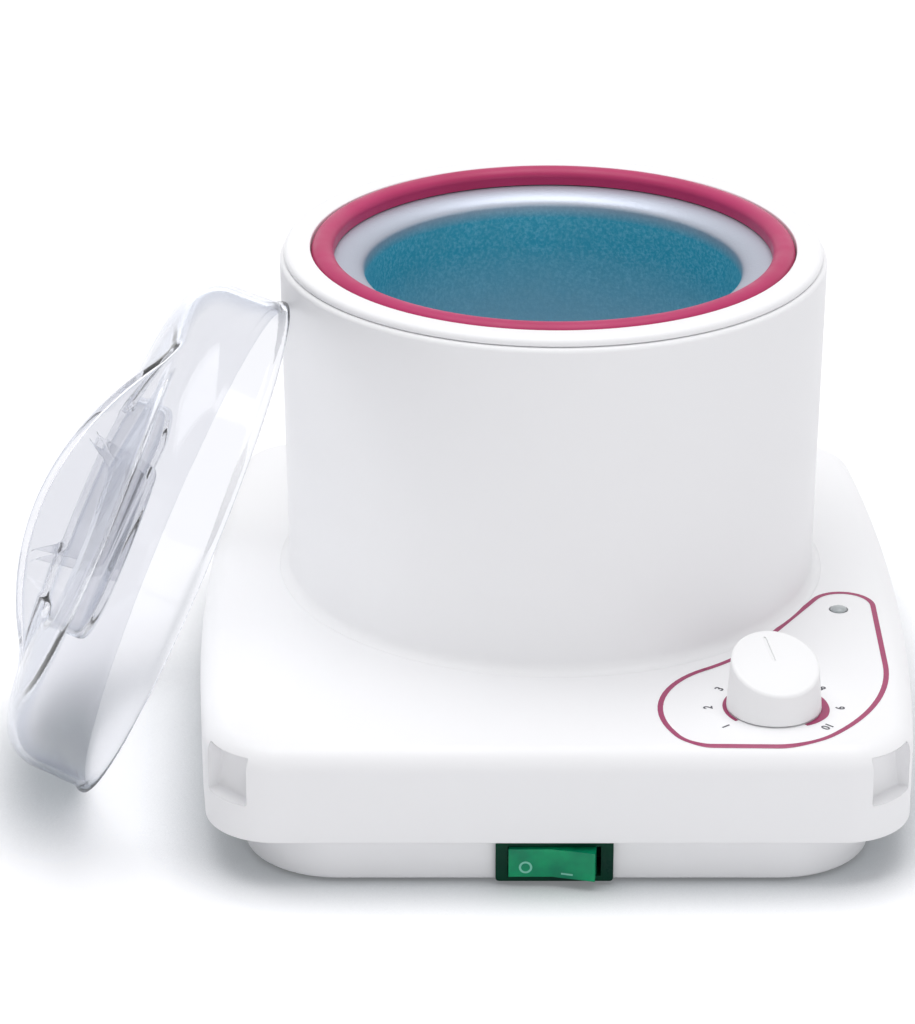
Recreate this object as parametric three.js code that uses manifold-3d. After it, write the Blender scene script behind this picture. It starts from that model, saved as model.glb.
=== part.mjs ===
// Wax warmer: a round heated well in a white moulded housing, with a clear lid leaning on its side.
// Millimetres, +Z up. The origin is on the barrel's axis, at the flat underside of the bottom tray.
// The front faces -Y. The tray stands on four feet that reach below the origin.
import * as THREE from 'three';
import { mergeVertices } from 'three/addons/utils/BufferGeometryUtils.js';
import Module from 'manifold-3d';

const wasm = await Module();
wasm.setup();

// Shared clearances and mesh fineness
const seat_gap = 0.3;
const fit_gap = 0.3;
const overrun = 2;
const round_steps = 36;
const small_steps = 10;
const knob_steps = 24;
const vent_steps = 2;
const fillet_steps = 3;
const corner_steps = 4;
const side_steps = 5;
const lid_steps = 36;
const hex_sides = 6;

// Barrel, the tall round part of the housing
const barrel_radius = 80;
const barrel_foot_inset = 1.2;
const barrel_wall = 2.6;
const barrel_rim_round = 1.6;
const barrel_foot_round = 1.5;
const cap_top = 142.2;

// Base body, the low wide moulding round the barrel's foot
const body_front_margin = 48.6;
const body_back_margin = 16;
const body_side_margin = 23.5;
const body_side_radius = 880;
const body_corner = 20.6;
const body_height = 27.8;
const body_fillet = 6.7;
const body_wall = 2.5;

// Finger pockets in the four corners of the base body
const pocket_width = 15.4;
const pocket_lift = 10.5;
const pocket_drop = 3;
const pocket_depth_top = 7.6;
const pocket_depth_bottom = 5.2;
const pocket_wall = 2;

// Screw bosses of the housing and the screws in them
const boss_radius = 4;
const boss_inset_x = 21;
const boss_inset_y = 31.6;
const screw_radius = 1.6;
const screw_reach = 14;
const screw_head_radius = 3.2;
const screw_head_height = 2.2;
const screw_head_top_share = 0.7;
const screw_slot_width = 0.8;
const screw_slot_depth = 0.9;
const bore_spare = 4;

// Stiffening ribs below the top plate
const rib_thickness = 1.6;
const rib_depth = 9;
const rib_angles = [-160, -105, -75, -12, 20, 70, 110, 160];

// Bottom tray: skirt, floor and the flange that closes the housing
const skirt_front_inset = 3.5;
const skirt_side_inset = 8.6;
const skirt_corner = 27;
const skirt_wall = 2.4;
const skirt_neck = 0.4;
const tray_floor = 1.9;
const tray_flange = 2;
const tray_post_wall = 3.1;
const counterbore_depth = 7;
const vent_width = 3;
const vent_length = 34;
const vent_pitch = 9;
const vent_count = 4;
const vent_offset = 46;

// Feet
const foot_radius = 7;
const foot_height = 2.2;
const foot_proud = 1;
const foot_shift_x = 2.2;
const foot_shift_y = 2;

// Top cap and trim ring
const cap_inset = 1.2;
const cap_edge_height = 2;
const cap_round = 1.4;
const cap_land = 7.7;
const cap_ledge = 2.4;
const cap_ledge_inset = 0.4;
const cap_spigot = 11;
const cap_spigot_wall = 2;
const ring_width = 6.6;
const ring_crest = 0.9;
const ring_round = 2.6;

// Heated well
const well_floor = 24;
const well_wall = 1.8;
const well_foot_inset = 1;
const well_corner = 7;
const well_flange_play = 1.3;
const well_flange_thickness = 1.3;
const well_flange_drop = 4.3;
const well_lip_inset = 0.2;
const well_lip_width = 8.6;
const well_lip_height = 3.8;
const stud_radius = 3;
const stud_length = 13;

// Heater band, its clamp, the felt sleeve and the sensor
const band_lift = 12;
const band_height_share = 0.48;
const band_thickness = 1.4;
const band_opening_half_angle = 0.2;
const lug_margin = 2.4;
const lug_thickness = 1.5;
const clamp_bolt_radius = 2;
const clamp_head_radius = 3.4;
const clamp_head_height = 2.4;
const clamp_height_shares = [0.2, 0.8];
const sleeve_thickness = 6;
const sleeve_lift = 4;
const sleeve_height_share = 0.77;
const sleeve_opening_half_angle = 0.36;
const bulb_radius = 2.4;
const bulb_length = 44;
const bulb_tail_radius = 1;
const bulb_tail_length = 9;

// Bridge that pulls the well down on the cap
const bridge_width = 18;
const bridge_thickness = 1.6;
const bridge_drop = 4.6;
const bridge_post_wall = 2.6;
const bridge_screw_reach = 9;
const nut_wall = 2;
const nut_height = 5;

// Thermal cut-out under the well
const cutout_radius = 8;
const cutout_height = 5;
const cutout_flange_width = 2.5;
const cutout_flange_height = 0.8;
const cutout_offset = 30;
const tab_width = 6.3;
const tab_thickness = 0.8;
const tab_length = 8;

// Knob and thermostat
const knob_side_inset = 43.2;
const knob_front_inset = 28.1;
const knob_radius = 13.7;
const knob_top_inset = 1.3;
const knob_low_height = 9.2;
const knob_rise = 9;
const knob_round = 0.9;
const knob_round_share = 0.3;
const knob_wall = 2.7;
const knob_cavity_height = 6;
const knob_pointer_angle = 105;
const pointer_width = 0.9;
const pointer_depth = 0.5;
const pointer_length = 9.5;
const pointer_start = 0.8;
const shaft_radius = 3;
const shaft_flat = 0.7;
const shaft_reach = 4.4;
const bushing_wall = 1.4;
const bushing_proud = 2.8;
const bushing_nut_wall = 2.3;
const bushing_nut_height = 2.2;
const thermostat_width = 33;
const thermostat_depth = 36;
const thermostat_height = 19;
const thermostat_corner = 3;
const thermostat_tab_spread = 8;

// Indicator lamp
const lamp_side_inset = 19.3;
const lamp_front_inset = 92.2;
const lens_radius = 2.5;
const lens_proud = 0.9;
const lens_flange_width = 1.1;
const lens_flange_height = 1;
const holder_radius = 4.2;
const holder_height = 9;
const holder_wall = 1;

// Rocker switch in the skirt
const switch_x = -1.2;
const bezel_width = 32.6;
const bezel_height = 12.4;
const bezel_thickness = 1.5;
const bezel_round = 1;
const bezel_lift = 0.3;
const bezel_side_border = 2.5;
const bezel_end_border = 1.1;
const switch_body_depth = 17;
const switch_wall_side = 1.8;
const switch_wall_end = 0.8;
const rocker_proud = 1.1;
const rocker_depth = 6.5;
const rocker_swing_angle = 14;
const rocker_pivot_depth = 4.2;
const rocker_pin_radius = 1.1;
const rocker_pin_reach = 0.5;
const terminal_length = 7;

// Cord gland at the back
const gland_height_share = 0.461;
const gland_bore = 3.6;
const gland_wall = 2;
const gland_flange_width = 2.6;
const gland_flange_thickness = 2;
const gland_reach = 8;
const gland_nut_wall = 2.4;
const gland_nut_thickness = 3;

// Terminal block on the tray floor
const block_side_inset = 63.5;
const block_back_inset = 41;
const block_length = 30;
const block_width = 16;
const block_height = 12;
const block_ways = 3;
const block_bore = 1.8;
const block_groove = 1.2;
const block_groove_share = 0.6;

// Clear lid
const lid_inset = 3.9;
const lid_lip = 0.8;
const lid_lip_height = 2.2;
const lid_wall = 2;
const lid_shoulder_inset = 0.7;
const lid_wall_height = 13.5;
const lid_shoulder_width = 17;
const lid_shoulder_height = 15;
const lid_crown = 3.5;
const lid_crown_share = 0.75;
const lid_shoulder_fullness_share = 2.5;
const lid_crest = 12.5;
const lid_arch_drop = 21.4;
const lid_ridge_end_inset = 6.1;
const lid_ridge_half_width = 20;
const lid_ridge_sag = 27.2;
const lid_scoop_half_length = 26;
const lid_scoop_reach = 33;
const lid_scoop_lift = 6;
const lid_scoop_round = 3;
const lid_grip_foot = 7.4;
const lid_grip_top = 4.2;
const lid_scoop_flare = 2;
const lid_lean_angle = 24.6;
const lid_y = -52.1;
const lid_spin_angle = 16;

// Heights that follow from the sizes above
const body_bottom = bezel_lift + bezel_height + skirt_neck;
const body_top = body_bottom + body_height;
const plate_under = body_top - body_wall;
const boss_root = plate_under + body_wall / 2;
const pocket_bottom = body_bottom + pocket_lift;
const pocket_top = body_top - pocket_drop;
const tray_top = body_bottom + seat_gap + tray_flange;
const cap_under = cap_top - cap_edge_height;
const barrel_bottom = body_top + seat_gap;
const barrel_top = cap_under - seat_gap;
const flange_top = cap_top - well_flange_drop;
const flange_under = flange_top - well_flange_thickness;
const ledge_top = flange_under - seat_gap;
const ledge_under = ledge_top - cap_ledge;
const well_under = well_floor - well_wall;
const well_depth = flange_under - well_floor;
const band_bottom = well_floor + band_lift;
const band_height = band_height_share * well_depth;
const sleeve_bottom = well_floor + sleeve_lift;
const sleeve_height = sleeve_height_share * well_depth;
const bridge_top = well_under - bridge_drop;
const bridge_under = bridge_top - bridge_thickness;
const bridge_post_bottom = bridge_top + seat_gap;
const gland_height = tray_top + gland_height_share * (plate_under - tray_top);
const floor_level = -foot_proud;
const switch_z = bezel_lift + bezel_height / 2;

// Radii and widths that follow from the sizes above
const barrel_foot_radius = barrel_radius - barrel_foot_inset;
const bore_radius = barrel_radius - barrel_wall;
const bore_foot_radius = barrel_foot_radius - barrel_wall;
const body_front = barrel_radius + body_front_margin;
const body_back = barrel_radius + body_back_margin;
const body_half_width = barrel_radius + body_side_margin;
const boss_x = body_half_width - boss_inset_x;
const boss_front_y = -body_front + boss_inset_y;
const boss_back_y = body_back - boss_inset_y;
const skirt_front = body_front - skirt_front_inset;
const skirt_back = body_back - skirt_front_inset;
const skirt_half_width = body_half_width - skirt_side_inset;
const cap_radius = barrel_radius - cap_inset;
const cap_step_radius = cap_radius - cap_land;
const ring_radius = cap_step_radius - fit_gap;
const ring_inner_radius = ring_radius - ring_width;
const cap_ledge_radius = ring_inner_radius + cap_ledge_inset;
const well_flange_radius = cap_step_radius - well_flange_play;
const well_lip_radius = ring_inner_radius - well_lip_inset;
const well_radius = well_lip_radius - well_lip_width;
const well_foot_radius = well_radius - well_foot_inset;
const well_outer = well_radius + well_wall;
const band_inner = well_outer + fit_gap;
const band_outer = band_inner + band_thickness;
const bulb_y = -(band_inner + bulb_radius);
const clamp_y = bulb_y - bulb_radius - fit_gap - clamp_bolt_radius;
const clamp_radius = -clamp_y / Math.cos(band_opening_half_angle);
const lug_outer = clamp_radius + clamp_bolt_radius + lug_margin;
const lug_face_radius = clamp_radius + clamp_head_radius;
const lug_half_span = lug_face_radius * Math.sin(band_opening_half_angle) + lug_thickness + fit_gap;
const screw_hole_radius = screw_radius + fit_gap;
const bridge_post_radius = screw_hole_radius + bridge_post_wall;
const knob_x = body_half_width - knob_side_inset;
const knob_y = knob_front_inset - body_front;
const knob_top_radius = knob_radius - knob_top_inset;
const thermostat_top = -body_wall - seat_gap;
const bushing_radius = shaft_radius + fit_gap + bushing_wall;
const lamp_x = body_half_width - lamp_side_inset;
const lamp_y = lamp_front_inset - body_front;
const gland_radius = gland_bore + gland_wall;
const block_x = block_side_inset - body_half_width;
const block_y = body_back - block_back_inset;
const switch_body_width = bezel_width - 2 * bezel_side_border;
const switch_body_height = bezel_height - 2 * bezel_end_border;
const rocker_width = switch_body_width - 2 * switch_wall_side;
const rocker_height = switch_body_height - 2 * switch_wall_end;
const lid_radius = barrel_radius - lid_inset;
const lid_ridge_half_length = lid_radius - lid_ridge_end_inset;
const lid_arch_radius = (lid_ridge_half_length ** 2 + lid_arch_drop ** 2) / (2 * lid_arch_drop);
const lid_crown_height = lid_wall_height + lid_shoulder_height + lid_crown;
const half_steps = round_steps / 2;
const half_small_steps = small_steps / 2;
const quarter_turn = Math.PI / 2;
const radians = Math.PI / 180;
const lean_angle = lid_lean_angle * radians;

// Solids and meshes
function signedVolume(geometry) {
  const place = geometry.getAttribute('position');
  const index = geometry.getIndex();
  const a = new THREE.Vector3();
  const b = new THREE.Vector3();
  const c = new THREE.Vector3();
  let sum = 0;
  for (let i = 0; i < index.count; i += 3) {
    a.fromBufferAttribute(place, index.getX(i));
    b.fromBufferAttribute(place, index.getX(i + 1));
    c.fromBufferAttribute(place, index.getX(i + 2));
    sum += a.dot(b.cross(c));
  }
  return sum;
}

// Merges shared vertices, drops collapsed faces and points every face outwards
function closed(geometry) {
  const bare = geometry.clone();
  bare.deleteAttribute('normal');
  bare.deleteAttribute('uv');
  const merged = mergeVertices(bare);
  const index = merged.getIndex();
  const kept = [];
  for (let i = 0; i < index.count; i += 3) {
    const [a, b, c] = [index.getX(i), index.getX(i + 1), index.getX(i + 2)];
    if (a !== b && b !== c && c !== a) kept.push(a, b, c);
  }
  merged.setIndex(kept);
  if (signedVolume(merged) < 0) {
    merged.setIndex(kept.reverse());
  }
  return merged;
}

function solid(geometry) {
  const merged = closed(geometry);
  return new wasm.Manifold(new wasm.Mesh({
    numProp: 3,
    vertProperties: new Float32Array(merged.getAttribute('position').array),
    triVerts: new Uint32Array(merged.getIndex().array),
  }));
}

function surface(body) {
  const mesh = body.getMesh();
  const geometry = new THREE.BufferGeometry();
  geometry.setAttribute('position', new THREE.BufferAttribute(new Float32Array(mesh.vertProperties), 3));
  geometry.setIndex(new THREE.BufferAttribute(new Uint32Array(mesh.triVerts), 1));
  geometry.computeVertexNormals();
  return geometry;
}

function join(...geometries) {
  return geometries.map(solid).reduce((sum, next) => sum.add(next));
}

// Turns a closed (radius, height) profile round the Z axis
function turned(profile, steps = round_steps) {
  const points = profile.map(([r, z]) => new THREE.Vector2(r, z));
  return closed(new THREE.LatheGeometry(points, steps).rotateX(Math.PI / 2));
}

function disc(radius, low, high, steps = small_steps) {
  return turned([[0, low], [radius, low], [radius, high], [0, high]], steps);
}

function block(width, depth, low, high) {
  return new THREE.BoxGeometry(width, depth, high - low).translate(0, 0, (high + low) / 2);
}

function prism(outline, low, high, steps = corner_steps) {
  const settings = { depth: high - low, bevelEnabled: false, curveSegments: steps };
  return closed(new THREE.ExtrudeGeometry(outline, settings).translate(0, 0, low));
}

// Skins a stack of rings, each a list of points with the same count, and caps both ends
function loft(stack) {
  const clockwise = THREE.ShapeUtils.isClockWise(stack[0]);
  const rings = clockwise ? stack.map((ring) => [...ring].reverse()) : stack;
  const count = rings[0].length;
  const places = rings.flat().flatMap((point) => [point.x, point.y, point.z]);
  const faces = [];
  for (let level = 0; level < rings.length - 1; level += 1) {
    for (let i = 0; i < count; i += 1) {
      const next = (i + 1) % count;
      const [a, b] = [level * count + i, level * count + next];
      const [c, d] = [a + count, b + count];
      faces.push(a, b, d, a, d, c);
    }
  }
  const flat = rings[0].map((point) => new THREE.Vector2(point.x, point.y));
  const top = (rings.length - 1) * count;
  for (const [a, b, c] of THREE.ShapeUtils.triangulateShape(flat, [])) {
    faces.push(a, c, b, top + a, top + b, top + c);
  }
  const geometry = new THREE.BufferGeometry();
  geometry.setAttribute('position', new THREE.Float32BufferAttribute(places, 3));
  geometry.setIndex(faces);
  return closed(geometry);
}

// A hexagonal nut with a round bore
function hexNut(flat_radius, hole_radius, low, high) {
  const corner = flat_radius / Math.cos(Math.PI / hex_sides);
  const blank = disc(corner, low, high, hex_sides).rotateZ(Math.PI / hex_sides);
  const bore = disc(hole_radius, low - overrun, high + overrun);
  return surface(solid(blank).subtract(solid(bore)));
}

// Points of an arc, as pairs
function arc(x, y, radius, from, to, steps) {
  const points = [];
  for (let i = 0; i <= steps; i += 1) {
    const angle = from + (to - from) * i / steps;
    points.push([x + radius * Math.cos(angle), y + radius * Math.sin(angle)]);
  }
  return points;
}

function roundedBox(width, depth, corner) {
  const [x, y] = [width / 2, depth / 2];
  const outline = new THREE.Shape();
  outline.moveTo(-x + corner, -y);
  outline.lineTo(x - corner, -y);
  outline.absarc(x - corner, -y + corner, corner, -Math.PI / 2, 0, false);
  outline.lineTo(x, y - corner);
  outline.absarc(x - corner, y - corner, corner, 0, Math.PI / 2, false);
  outline.lineTo(-x + corner, y);
  outline.absarc(-x + corner, y - corner, corner, Math.PI / 2, Math.PI, false);
  outline.lineTo(-x, -y + corner);
  outline.absarc(-x + corner, -y + corner, corner, Math.PI, 1.5 * Math.PI, false);
  return outline;
}

// Points of a rounded plan whose long sides bow outwards, all arcs tangent to each other
function bowedPlan(front, back, half_width, corner, inset, z) {
  const side_centre = half_width - body_side_radius;
  const middle = (back - front) / 2;
  const front_y = -front + corner;
  const back_y = back - corner;
  const reach = body_side_radius - corner;
  const front_x = side_centre + Math.sqrt(reach ** 2 - (front_y - middle) ** 2);
  const back_x = side_centre + Math.sqrt(reach ** 2 - (back_y - middle) ** 2);
  const front_turn = Math.atan2(front_y - middle, front_x - side_centre);
  const back_turn = Math.atan2(back_y - middle, back_x - side_centre);
  const side = arc(side_centre, middle, body_side_radius - inset, front_turn, back_turn, side_steps);
  const right = [
    ...arc(front_x, front_y, corner - inset, -quarter_turn, front_turn, corner_steps),
    ...side.slice(1, -1),
    ...arc(back_x, back_y, corner - inset, back_turn, quarter_turn, corner_steps),
  ];
  const left = right.map(([x, y]) => [-x, y]).reverse();
  return [...right, ...left].map(([x, y]) => new THREE.Vector3(x, y, z));
}

function bodyPlan(inset, z) {
  return bowedPlan(body_front, body_back, body_half_width, body_corner, inset, z);
}

function skirtPlan(inset, z) {
  return bowedPlan(skirt_front, skirt_back, skirt_half_width, skirt_corner, inset, z);
}

// Levels of a plan that rises straight and rounds over at its top edge
function roundedRise(plan, inset, low, high, fillet) {
  const rings = [plan(inset, low)];
  for (const [out, up] of arc(0, 0, fillet, 0, quarter_turn, fillet_steps)) {
    rings.push(plan(inset + fillet - out, high - fillet + up));
  }
  return loft(rings);
}

function bodyCornerCentre(side, end) {
  const middle = (body_back - body_front) / 2;
  const y = end < 0 ? -body_front + body_corner : body_back - body_corner;
  const reach = body_side_radius - body_corner;
  const x = body_half_width - body_side_radius + Math.sqrt(reach ** 2 - (y - middle) ** 2);
  return [side * x, y];
}

const corners = [[-1, -1], [1, -1], [-1, 1], [1, 1]];

// A pocket tool at one corner, pointing along the corner's diagonal
function pocketTool(side, end, wall) {
  const [x, y] = bodyCornerCentre(side, end);
  const half = pocket_width / 2 + wall;
  const level = (depth, z) => {
    const inner = body_corner - depth - wall;
    const outer = body_corner + overrun;
    const corners_of_level = [[inner, -half], [outer, -half], [outer, half], [inner, half]];
    return corners_of_level.map(([along, across]) => new THREE.Vector3(along, across, z));
  };
  const tool = loft([
    level(pocket_depth_bottom, pocket_bottom - wall),
    level(pocket_depth_top, pocket_top + wall / 2),
  ]);
  return tool.rotateZ(Math.atan2(end, side)).translate(x, y, 0);
}

// Housing
function bossPlaces() {
  return corners.map(([side, end]) => [side * boss_x, end < 0 ? boss_front_y : boss_back_y]);
}

// The base body: a shell with a round opening in its top plate, under the barrel
function upperHousing() {
  const base = solid(roundedRise(bodyPlan, 0, body_bottom, body_top, body_fillet));
  const fillet = body_fillet - body_wall;
  const hollow = roundedRise(bodyPlan, body_wall, body_bottom - overrun, plate_under, fillet);
  const opening = disc(bore_foot_radius, plate_under - overrun, body_top + overrun, round_steps);
  let shell = base.subtract(solid(hollow)).subtract(solid(opening));
  for (const [side, end] of corners) {
    shell = shell.add(solid(pocketTool(side, end, pocket_wall)).intersect(base));
    shell = shell.subtract(solid(pocketTool(side, end, 0)));
  }
  return surface(housingHoles(housingBosses(shell, base)));
}

// The barrel: a tapered wall with a flared foot, a rounded rim and a wider bore for the cap
function housingBarrel() {
  const rim = barrel_rim_round;
  const flare = barrel_foot_round;
  const foot_x = barrel_foot_radius + flare;
  return turned([
    [bore_foot_radius, barrel_bottom],
    ...arc(foot_x, barrel_bottom + flare, flare, -quarter_turn, -2 * quarter_turn, fillet_steps),
    ...arc(barrel_radius - rim, barrel_top - rim, rim, 0, quarter_turn, fillet_steps),
    [bore_radius, barrel_top],
    [bore_radius, barrel_top - cap_spigot - seat_gap],
    [bore_foot_radius, barrel_bottom],
  ]);
}

// Screw bosses, bridge posts and the radial ribs under the top plate
function housingBosses(shell, base) {
  let body = shell;
  for (const [x, y] of bossPlaces()) {
    body = body.add(solid(disc(boss_radius, tray_top + seat_gap, boss_root).translate(x, y, 0)));
  }
  for (const side of [-1, 1]) {
    const post = disc(bridge_post_radius, bridge_post_bottom, boss_root);
    body = body.add(solid(post.translate(side * barrel_radius, 0, 0)));
  }
  for (const degrees of rib_angles) {
    const angle = degrees * radians;
    const [inner, outer] = [barrel_foot_radius, ribReach(angle)];
    const rib = block(outer - inner, rib_thickness, plate_under - rib_depth, boss_root);
    rib.translate((outer + inner) / 2, 0, 0).rotateZ(angle);
    body = body.add(solid(rib).intersect(base));
  }
  return body;
}

// How far a rib runs from the axis before it meets the middle of the wall
function ribReach(angle) {
  const along_y = Math.abs(Math.sin(angle));
  const end = Math.sin(angle) < 0 ? body_front : body_back;
  const to_end = along_y > 0 ? (end - body_wall / 2) / along_y : Infinity;
  const to_side = (body_half_width - body_wall) / Math.abs(Math.cos(angle));
  return Math.min(to_end, to_side - body_wall);
}

function housingHoles(shell) {
  let body = shell;
  const case_bore_top = screw_reach + tray_top + bore_spare;
  for (const [x, y] of bossPlaces()) {
    body = body.subtract(solid(disc(screw_hole_radius, body_bottom, case_bore_top).translate(x, y, 0)));
  }
  const bridge_bore_top = bridge_under + bridge_screw_reach + fit_gap;
  for (const side of [-1, 1]) {
    const bore = disc(screw_hole_radius, bridge_under, bridge_bore_top);
    body = body.subtract(solid(bore.translate(side * barrel_radius, 0, 0)));
  }
  const shaft_hole = disc(bushing_radius + fit_gap, plate_under - overrun, body_top + overrun);
  const lamp_hole = disc(lens_radius + fit_gap, plate_under - overrun, body_top + overrun);
  const gland_hole = disc(gland_radius + fit_gap, body_back - body_wall - overrun, body_back + overrun);
  body = body.subtract(solid(shaft_hole.translate(knob_x, knob_y, 0)));
  body = body.subtract(solid(lamp_hole.translate(lamp_x, lamp_y, 0)));
  return body.subtract(solid(gland_hole.rotateX(-quarter_turn).translate(0, 0, gland_height)));
}

// Cap, trim ring and well, all turned round the barrel's axis
function topCap() {
  const spigot = bore_radius - fit_gap;
  const spigot_inner = spigot - cap_spigot_wall;
  return turned([
    [cap_radius, cap_under],
    ...arc(cap_radius - cap_round, cap_top - cap_round, cap_round, 0, quarter_turn, fillet_steps),
    [cap_step_radius + fit_gap, cap_top],
    [cap_step_radius, cap_top - fit_gap],
    [cap_step_radius, ledge_top],
    [cap_ledge_radius, ledge_top],
    [cap_ledge_radius, ledge_under],
    [spigot_inner, ledge_under],
    [spigot_inner, cap_top - cap_spigot],
    [spigot, cap_top - cap_spigot],
    [spigot, cap_under],
    [cap_radius, cap_under],
  ]);
}

function trimRing() {
  const low = flange_top + seat_gap;
  const high = cap_top + ring_crest;
  const middle = (ring_radius + ring_inner_radius) / 2;
  const half = (ring_radius - ring_inner_radius) / 2;
  const arch = arc(0, 0, half, 0, Math.PI, 2 * fillet_steps);
  return turned([
    [ring_inner_radius, low],
    [ring_radius, low],
    ...arch.map(([x, y]) => [middle + x, high - ring_round + ring_round * y / half]),
    [ring_inner_radius, low],
  ]);
}

function heatingWell() {
  const outer_corner = well_corner + well_wall;
  const corner = (radius, low, x) => {
    return arc(x - radius, low + radius, radius, -quarter_turn, 0, fillet_steps);
  };
  // A lip that rises from the wall and levels out into the flange
  const lip = (radius, top) => {
    const width = well_lip_radius - radius;
    const bend = arc(0, 0, 1, quarter_turn, 0, fillet_steps);
    return bend.map(([x, y]) => [well_lip_radius - width * y, top - well_lip_height * (1 - x)]);
  };
  return turned([
    [0, well_under - stud_length],
    [stud_radius, well_under - stud_length],
    [stud_radius, well_under],
    ...corner(outer_corner, well_under, well_foot_radius + well_wall),
    ...lip(well_outer, flange_under),
    [well_flange_radius, flange_under],
    [well_flange_radius, flange_top],
    ...lip(well_radius, flange_top).reverse(),
    ...corner(well_corner, well_floor, well_foot_radius).reverse(),
    [0, well_floor],
  ]);
}

// Part of a ring, open at the front, made from an outline between two arcs
function openRing(inner, outer, low, high, half_opening) {
  const from = half_opening - quarter_turn;
  const to = 3 * quarter_turn - half_opening;
  const outline = new THREE.Shape();
  outline.absarc(0, 0, outer, from, to, false);
  outline.absarc(0, 0, inner, to, from, true);
  return prism(outline, low, high, half_steps);
}

function clampPlaces() {
  return clamp_height_shares.map((share) => band_bottom + share * band_height);
}

function heaterBand() {
  const band_top = band_bottom + band_height;
  const lug_inner = (band_inner + band_outer) / 2;
  let body = solid(openRing(band_inner, band_outer, band_bottom, band_top, band_opening_half_angle));
  for (const side of [-1, 1]) {
    const lug = block(lug_thickness, lug_outer - lug_inner, band_bottom, band_top);
    lug.translate(side * lug_thickness / 2, -(lug_outer + lug_inner) / 2, 0);
    body = body.add(solid(lug.rotateZ(side * band_opening_half_angle)));
  }
  for (const z of clampPlaces()) {
    const hole = disc(clamp_bolt_radius + fit_gap, -lug_half_span - overrun, lug_half_span + overrun);
    body = body.subtract(solid(hole.rotateY(quarter_turn).translate(0, clamp_y, z)));
  }
  return surface(body);
}

// Clamp bolt and nut, drawn along Z with the lugs round height zero
function clampBolt() {
  const half = lug_half_span + fit_gap;
  const stem = disc(clamp_bolt_radius, -half, half + clamp_head_height + fit_gap);
  const head = disc(clamp_head_radius, -half - clamp_head_height, -half);
  return surface(join(stem, head));
}

function clampNut() {
  const low = lug_half_span + fit_gap;
  return hexNut(clamp_head_radius, clamp_bolt_radius + fit_gap / 2, low, low + clamp_head_height);
}

function insulationSleeve() {
  const inner = band_outer + fit_gap;
  const top = sleeve_bottom + sleeve_height;
  return openRing(inner, inner + sleeve_thickness, sleeve_bottom, top, sleeve_opening_half_angle);
}

// Capillary bulb that lies on the well's wall between the clamp lugs
function sensorBulb() {
  const shoulder = bulb_radius - bulb_tail_radius;
  return turned([
    [0, -bulb_tail_length],
    [bulb_tail_radius, -bulb_tail_length],
    [bulb_tail_radius, 0],
    [bulb_radius, shoulder],
    [bulb_radius, bulb_length - shoulder],
    [bulb_tail_radius, bulb_length],
    [0, bulb_length],
  ], small_steps);
}

// Bridge below the well, its nut and its screws
function wellBridge() {
  const reach = barrel_radius + bridge_post_radius;
  const outline = roundedBox(2 * reach, bridge_width, bridge_post_radius);
  const holes = [
    [0, stud_radius + fit_gap],
    [-barrel_radius, screw_hole_radius],
    [barrel_radius, screw_hole_radius],
  ];
  let strip = solid(prism(outline, bridge_under, bridge_top));
  for (const [x, radius] of holes) {
    const hole = disc(radius, bridge_under - overrun, bridge_top + overrun);
    strip = strip.subtract(solid(hole.translate(x, 0, 0)));
  }
  return surface(strip);
}

function wellNut() {
  const top = bridge_under - seat_gap;
  return hexNut(stud_radius + nut_wall, stud_radius + fit_gap, top - nut_height, top);
}

// A slotted screw that points up, with the underside of its head at height zero
function screw(reach) {
  const stem = disc(screw_radius, -screw_head_height / 2, reach);
  const head = turned([
    [0, -screw_head_height],
    [screw_head_radius * screw_head_top_share, -screw_head_height],
    [screw_head_radius, -screw_head_height / 2],
    [screw_head_radius, 0],
    [0, 0],
  ], small_steps);
  const slot_top = screw_slot_depth - screw_head_height;
  const slot = block(2 * screw_head_radius + overrun, screw_slot_width, slot_top - overrun, slot_top);
  return surface(join(stem, head).subtract(solid(slot)));
}

// Thermal cut-out with two flat tabs, drawn with its flange at height zero
function thermalCutout() {
  const can = disc(cutout_radius, -cutout_height, 0);
  const flange = disc(cutout_radius + cutout_flange_width, -cutout_flange_height, 0);
  let body = join(can, flange);
  for (const side of [-1, 1]) {
    const tab = block(tab_thickness, tab_width, -cutout_height - tab_length, -cutout_height / 2);
    body = body.add(solid(tab.translate(side * cutout_radius / 2, 0, 0)));
  }
  return surface(body);
}

// Round section of the shaft with one flat, grown by a clearance
function shaftSection(clearance) {
  const radius = shaft_radius + clearance;
  const angle = Math.acos((radius - shaft_flat) / radius);
  const outline = new THREE.Shape();
  outline.absarc(0, 0, radius, angle, 2 * Math.PI - angle, false);
  return outline;
}

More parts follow.
